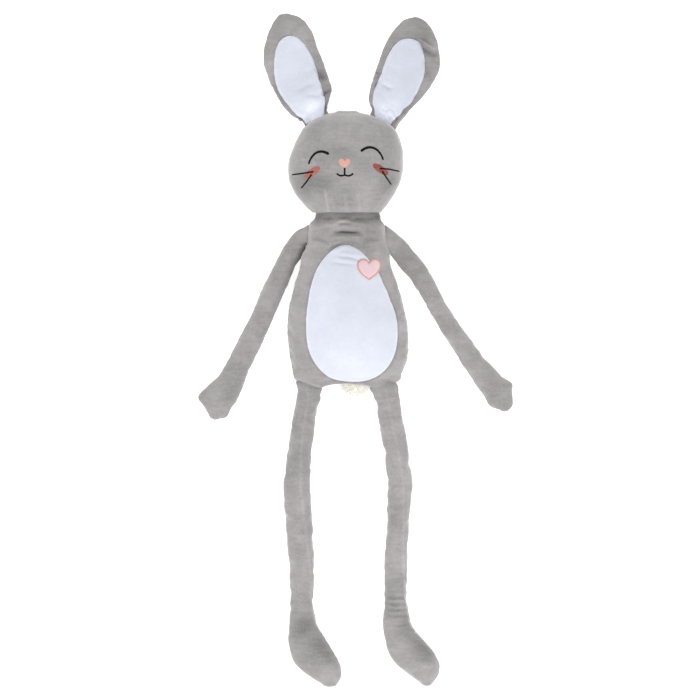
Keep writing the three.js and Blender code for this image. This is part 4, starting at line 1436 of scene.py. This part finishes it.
def stitched_band(name, places_mm, trees, start_width, end_width, height, closed=False):
    """A raised band along a line, with rounded ends. Map axis 1 runs along the line."""
    flat = np.array([(x * MM, y * MM, 0) for x, y in places_mm])
    path, at = dense(flat, closed, STITCH_PITCH)
    if not closed:
        for _ in range(6):
            path[1:-1] = 0.25 * path[:-2] + 0.5 * path[1:-1] + 0.25 * path[2:]
    count = len(path)
    path[:, 2] = [drop_onto(trees, x, y) for x, y, _ in path]
    points, uvs, faces = [], [], []
    for i in range(count):
        if closed:
            before, after = path[i - 1], path[(i + 1) % count]
        else:
            before, after = path[max(i - 1, 0)], path[min(i + 1, count - 1)]
        way = after - before
        way = way / np.linalg.norm(way)
        side = np.cross(way, (0, 0, 1))
        side = side / np.linalg.norm(side)
        width = start_width + (end_width - start_width) * i / (count - 1)
        from_end = 1.0 if closed else min(i, count - 1 - i) * STITCH_PITCH / (width / 2)
        rounded = math.sqrt(max(0.02, 1 - (1 - min(from_end, 1)) ** 2))
        for k in range(COLUMNS):
            s = 2 * k / (COLUMNS - 1) - 1
            x, y = path[i, :2] + side[:2] * s * width / 2 * rounded
            ground = drop_onto(trees, x, y)
            ground = path[i, 2] if ground is None else ground
            z = ground - STITCH_SINK + (height + STITCH_SINK) * rounded * math.sqrt(max(0.0, 1 - s * s))
            points.append((x, y, z))
            uvs.append((at[i], s * width / 2))
    for i in range(count if closed else count - 1):
        for k in range(COLUMNS - 1):
            a, b = i * COLUMNS + k, ((i + 1) % count) * COLUMNS + k
            faces.append((a, a + 1, b + 1, b))
    mesh = bpy.data.meshes.new(name)
    mesh.from_pydata(points, [], faces)
    layer = mesh.uv_layers.new(name="cloth")
    for polygon in mesh.polygons:
        polygon.use_smooth = True
        for li in polygon.loop_indices:
            layer.data[li].uv = uvs[mesh.loops[li].vertex_index]
    piece = bpy.data.objects.new(name, mesh)
    scene.collection.objects.link(piece)
    return piece


EYES = {
    "right": [(-57, 226), (-55.4, 231.2), (-52.8, 236), (-50, 239.6), (-46.8, 242.4), (-43.4, 244.0), (-39.8, 244.5),
              (-36.4, 244.4), (-33, 243.6), (-29.8, 242), (-26.8, 240)],
    "left": [(51, 232), (49.4, 237.2), (47, 241.4), (44, 245.2), (40.6, 248), (36.4, 250), (32, 250.8), (28, 250.3),
             (24, 248.7), (21, 246.8), (18, 244.3)],
}
SMILE = [(-16.4, 213), (-14, 210.6), (-11, 209.4), (-7.6, 209.6), (-4.8, 210.8), (-2.2, 209.6), (1.4, 209.2),
         (5.2, 210.6), (8.3, 213.6)]
STEM = [(-4.8, 221.6), (-4.8, 216), (-4.8, 210.6)]
WHISKERS = {
    "whisker_upper_right": [(-49.4, 215.5), (-65, 213.2), (-82, 211.3)],
    "whisker_lower_right": [(-52.2, 212), (-60, 201), (-68, 191.4)],
    "whisker_upper_left": [(45.1, 220.1), (60, 219.2), (75.5, 216)],
    "whisker_lower_left": [(49, 217), (56, 206.4), (63.2, 196.3)],
}
# The stuffed face bulges forward over the chin, which carries the stitching down with it, in mm.
FACE_DROP = 1.5
STITCH_WIDTH = 3.0 * MM
STITCH_HEIGHT = 0.9 * MM
face_trees = [skin_trees["head"]]
stitches = {}


def dropped(places):
    return [(x, y - FACE_DROP) for x, y in places]


for side in SIDES:
    stitches[f"eye_stitch_{side}"] = stitched_band(
        f"stitch_eye_{side}", dropped(EYES[side]), face_trees, STITCH_WIDTH, 4.8 * MM, STITCH_HEIGHT)
    centre, reach = outline_of(f"cheek_stitch_{side}", 60)
    centre, reach = centre + np.array([0, -FACE_DROP]) * MM, reach * 1.1
    grain = math.radians(-58 if side == "left" else 58)
    cheek = patch(f"stitch_cheek_{side}", centre, reach, face_trees, 0.1 * MM, STITCH_SINK, 24, dome=0.8 * MM,
                  edge=0.8 * MM, grain=grain)
    stitches[f"cheek_stitch_{side}"] = cheek
    face_trees.append(tree_of(cheek))
centre, reach = outline_of("nose_stitch", 90, passes=0)
centre, reach = centre + np.array([0, -1.6 * FACE_DROP]) * MM, reach * 1.12
stitches["nose_stitch"] = patch("stitch_nose", centre, reach, face_trees[:1], 0.2 * MM, STITCH_SINK, 26,
                                dome=1.3 * MM, edge=0.8 * MM)
smile = stitched_band("stitch_smile", dropped(SMILE), face_trees[:1], STITCH_WIDTH, STITCH_WIDTH, STITCH_HEIGHT)
stem = stitched_band("stitch_stem", dropped(STEM), face_trees[:1], 3.2 * MM, 3.2 * MM, STITCH_HEIGHT)
work = bmesh.new()
work.from_mesh(smile.data)
work.from_mesh(stem.data)
work.to_mesh(smile.data)
work.free()
bpy.data.objects.remove(stem)
stitches["mouth_stitch"] = smile
for node, places in WHISKERS.items():
    stitches[node] = stitched_band("stitch_" + node, dropped(places), face_trees, STITCH_WIDTH, 2.5 * MM, 0.8 * MM)
THREADS = {
    "cheek_stitch_right": (coral_thread, "coral_thread"),
    "cheek_stitch_left": (coral_thread_slanted, "coral_thread"),
    "nose_stitch": (nose_thread, "pink_satin"),
}
for node, piece in stitches.items():
    dress(piece, *THREADS.get(node, (black_thread, "black_thread")), [node])
    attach(piece, "head")
print("stitched pieces:", len(stitches))

# %% Heart patch
chest = [skin_trees["torso"], skin_trees["belly_panel"]]
centre, reach = outline_of("heart_edge_stitch", OUTLINE_POINTS, passes=0)
felt = patch("felt_heart", centre, reach * 0.98, chest, 1.6 * MM, 0.2 * MM, 44, dome=0.6 * MM, edge=2.4 * MM)
laid = positions(felt.data)
stiff = relax(felt.data, laid, 40)
laid[:, 2] = np.maximum(laid[:, 2], stiff[:, 2])
set_positions(felt.data, laid)
chest.append(tree_of(felt))
dress(felt, pink_felt, "pink_satin", ["heart_applique"])
edge_places = []
for i, far in enumerate(reach * 0.95):
    turn = math.tau * i / OUTLINE_POINTS
    edge_places.append(((centre[0] + math.cos(turn) * far) / MM, (centre[1] + math.sin(turn) * far) / MM))
heart_edge = stitched_band("stitch_heart_edge", edge_places, chest, 2.7 * MM, 2.7 * MM, STITCH_HEIGHT, closed=True)
dress(heart_edge, rose_thread, "rose_thread", ["heart_edge_stitch"])
for piece in (felt, heart_edge):
    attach(piece, "torso")

# %% [markdown]
# ## The pompom tail
# The tail is a bundle of long cream fur, trimmed round and squashed under the body. Only a crescent
# of it shows. Hair particles aren't carried over to other programs, so the locks are real tapered
# tufts, rooted on a lumpy core and bent at random from a fixed seed.


# %% Tufts
# Where a lock is rooted, as a share of the ball's radius, and where the core under it ends.
ROOT_DEPTH = 0.72
CORE_SIZE = 0.76


def pompom(name, low, high, locks, length):
    low, high = np.array(low), np.array(high)
    centre, radii = (low + high) / 2, (high - low) / 2
    fur = np.random.default_rng(21)
    points, faces = [], []
    golden = math.pi * (3 - math.sqrt(5))
    for i in range(locks):
        z = 1 - 2 * (i + 0.5) / locks
        out = np.array([math.cos(golden * i) * math.sqrt(1 - z * z), math.sin(golden * i) * math.sqrt(1 - z * z), z])
        root = centre + radii * out * ROOT_DEPTH
        way = out + fur.normal(0, 0.28, 3)
        way /= np.linalg.norm(way)
        bend = fur.normal(0, 0.35, 3)
        side = np.cross(way, fur.normal(0, 1, 3))
        side /= np.linalg.norm(side)
        other = np.cross(way, side)
        reach_out = length * fur.uniform(0.75, 1.15)
        thick = fur.uniform(0.7, 1.1) * MM
        base = len(points)
        for step, taper in ((0, 1.0), (0.4, 0.85), (0.75, 0.5)):
            middle = root + way * reach_out * step + bend * reach_out * step ** 2 * 0.6
            for k in range(3):
                angle = math.tau * k / 3
                points.append(middle + (side * math.cos(angle) + other * math.sin(angle)) * thick * taper)
        points.append(root + way * reach_out + bend * reach_out * 0.6)
        for ring in range(2):
            for k in range(3):
                a, b = base + ring * 3 + k, base + ring * 3 + (k + 1) % 3
                faces.append((a, b, b + 3, a + 3))
        faces += [(base + 6 + k, base + 6 + (k + 1) % 3, base + 9) for k in range(3)]
    points = np.array(points)
    points[:, 2] = np.maximum(points[:, 2], REST_HEIGHT)
    mesh = bpy.data.meshes.new(name)
    mesh.from_pydata(points.tolist(), [], faces)
    work = bmesh.new()
    work.from_mesh(mesh)
    core = bmesh.ops.create_icosphere(work, subdivisions=3, radius=1)["verts"]
    for vertex in core:
        lump = CORE_SIZE + 0.03 * math.sin(9 * vertex.co.x) * math.cos(11 * vertex.co.y)
        vertex.co = Vector(centre + radii * np.array(vertex.co) * lump)
    work.to_mesh(mesh)
    work.free()
    for polygon in mesh.polygons:
        polygon.use_smooth = True
    piece = bpy.data.objects.new(name, mesh)
    scene.collection.objects.link(piece)
    return piece


tail = pompom("fur_tail", *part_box("tail_pompom"), 1700, 8 * MM)
dress(tail, cream_fur, "cream_fur", ["tail_pompom"], 0.7)
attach(tail, "torso")
print("tail points:", len(tail.data.vertices))

# %% [markdown]
# ## What moves with what
# The head's cloth and filling, the stitches of the face, the belly panel, the heart and the tail ride on
# the body that they are sewn to. The rest of the cloth and filling is fixed where it lies.

# %% Ride on the bodies
for piece in pieces["torso"]:
    if piece.name == "cloth_belly_panel":
        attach(piece, "torso")
    else:
        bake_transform(piece)
for piece in pieces["head"]:
    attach(piece, "head")
for name, (seam_point, way) in limb_ways.items():
    kind = name.split("_")[0]
    for piece in pieces[name]:
        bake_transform(piece)

# %% Finish
low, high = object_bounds()
grown = [round((a - b) / MM, 1) for a, b in zip((*cad_low, *high), (*low, *cad_high))]
print("cloth stands proud of the packed model by mm:", grown)
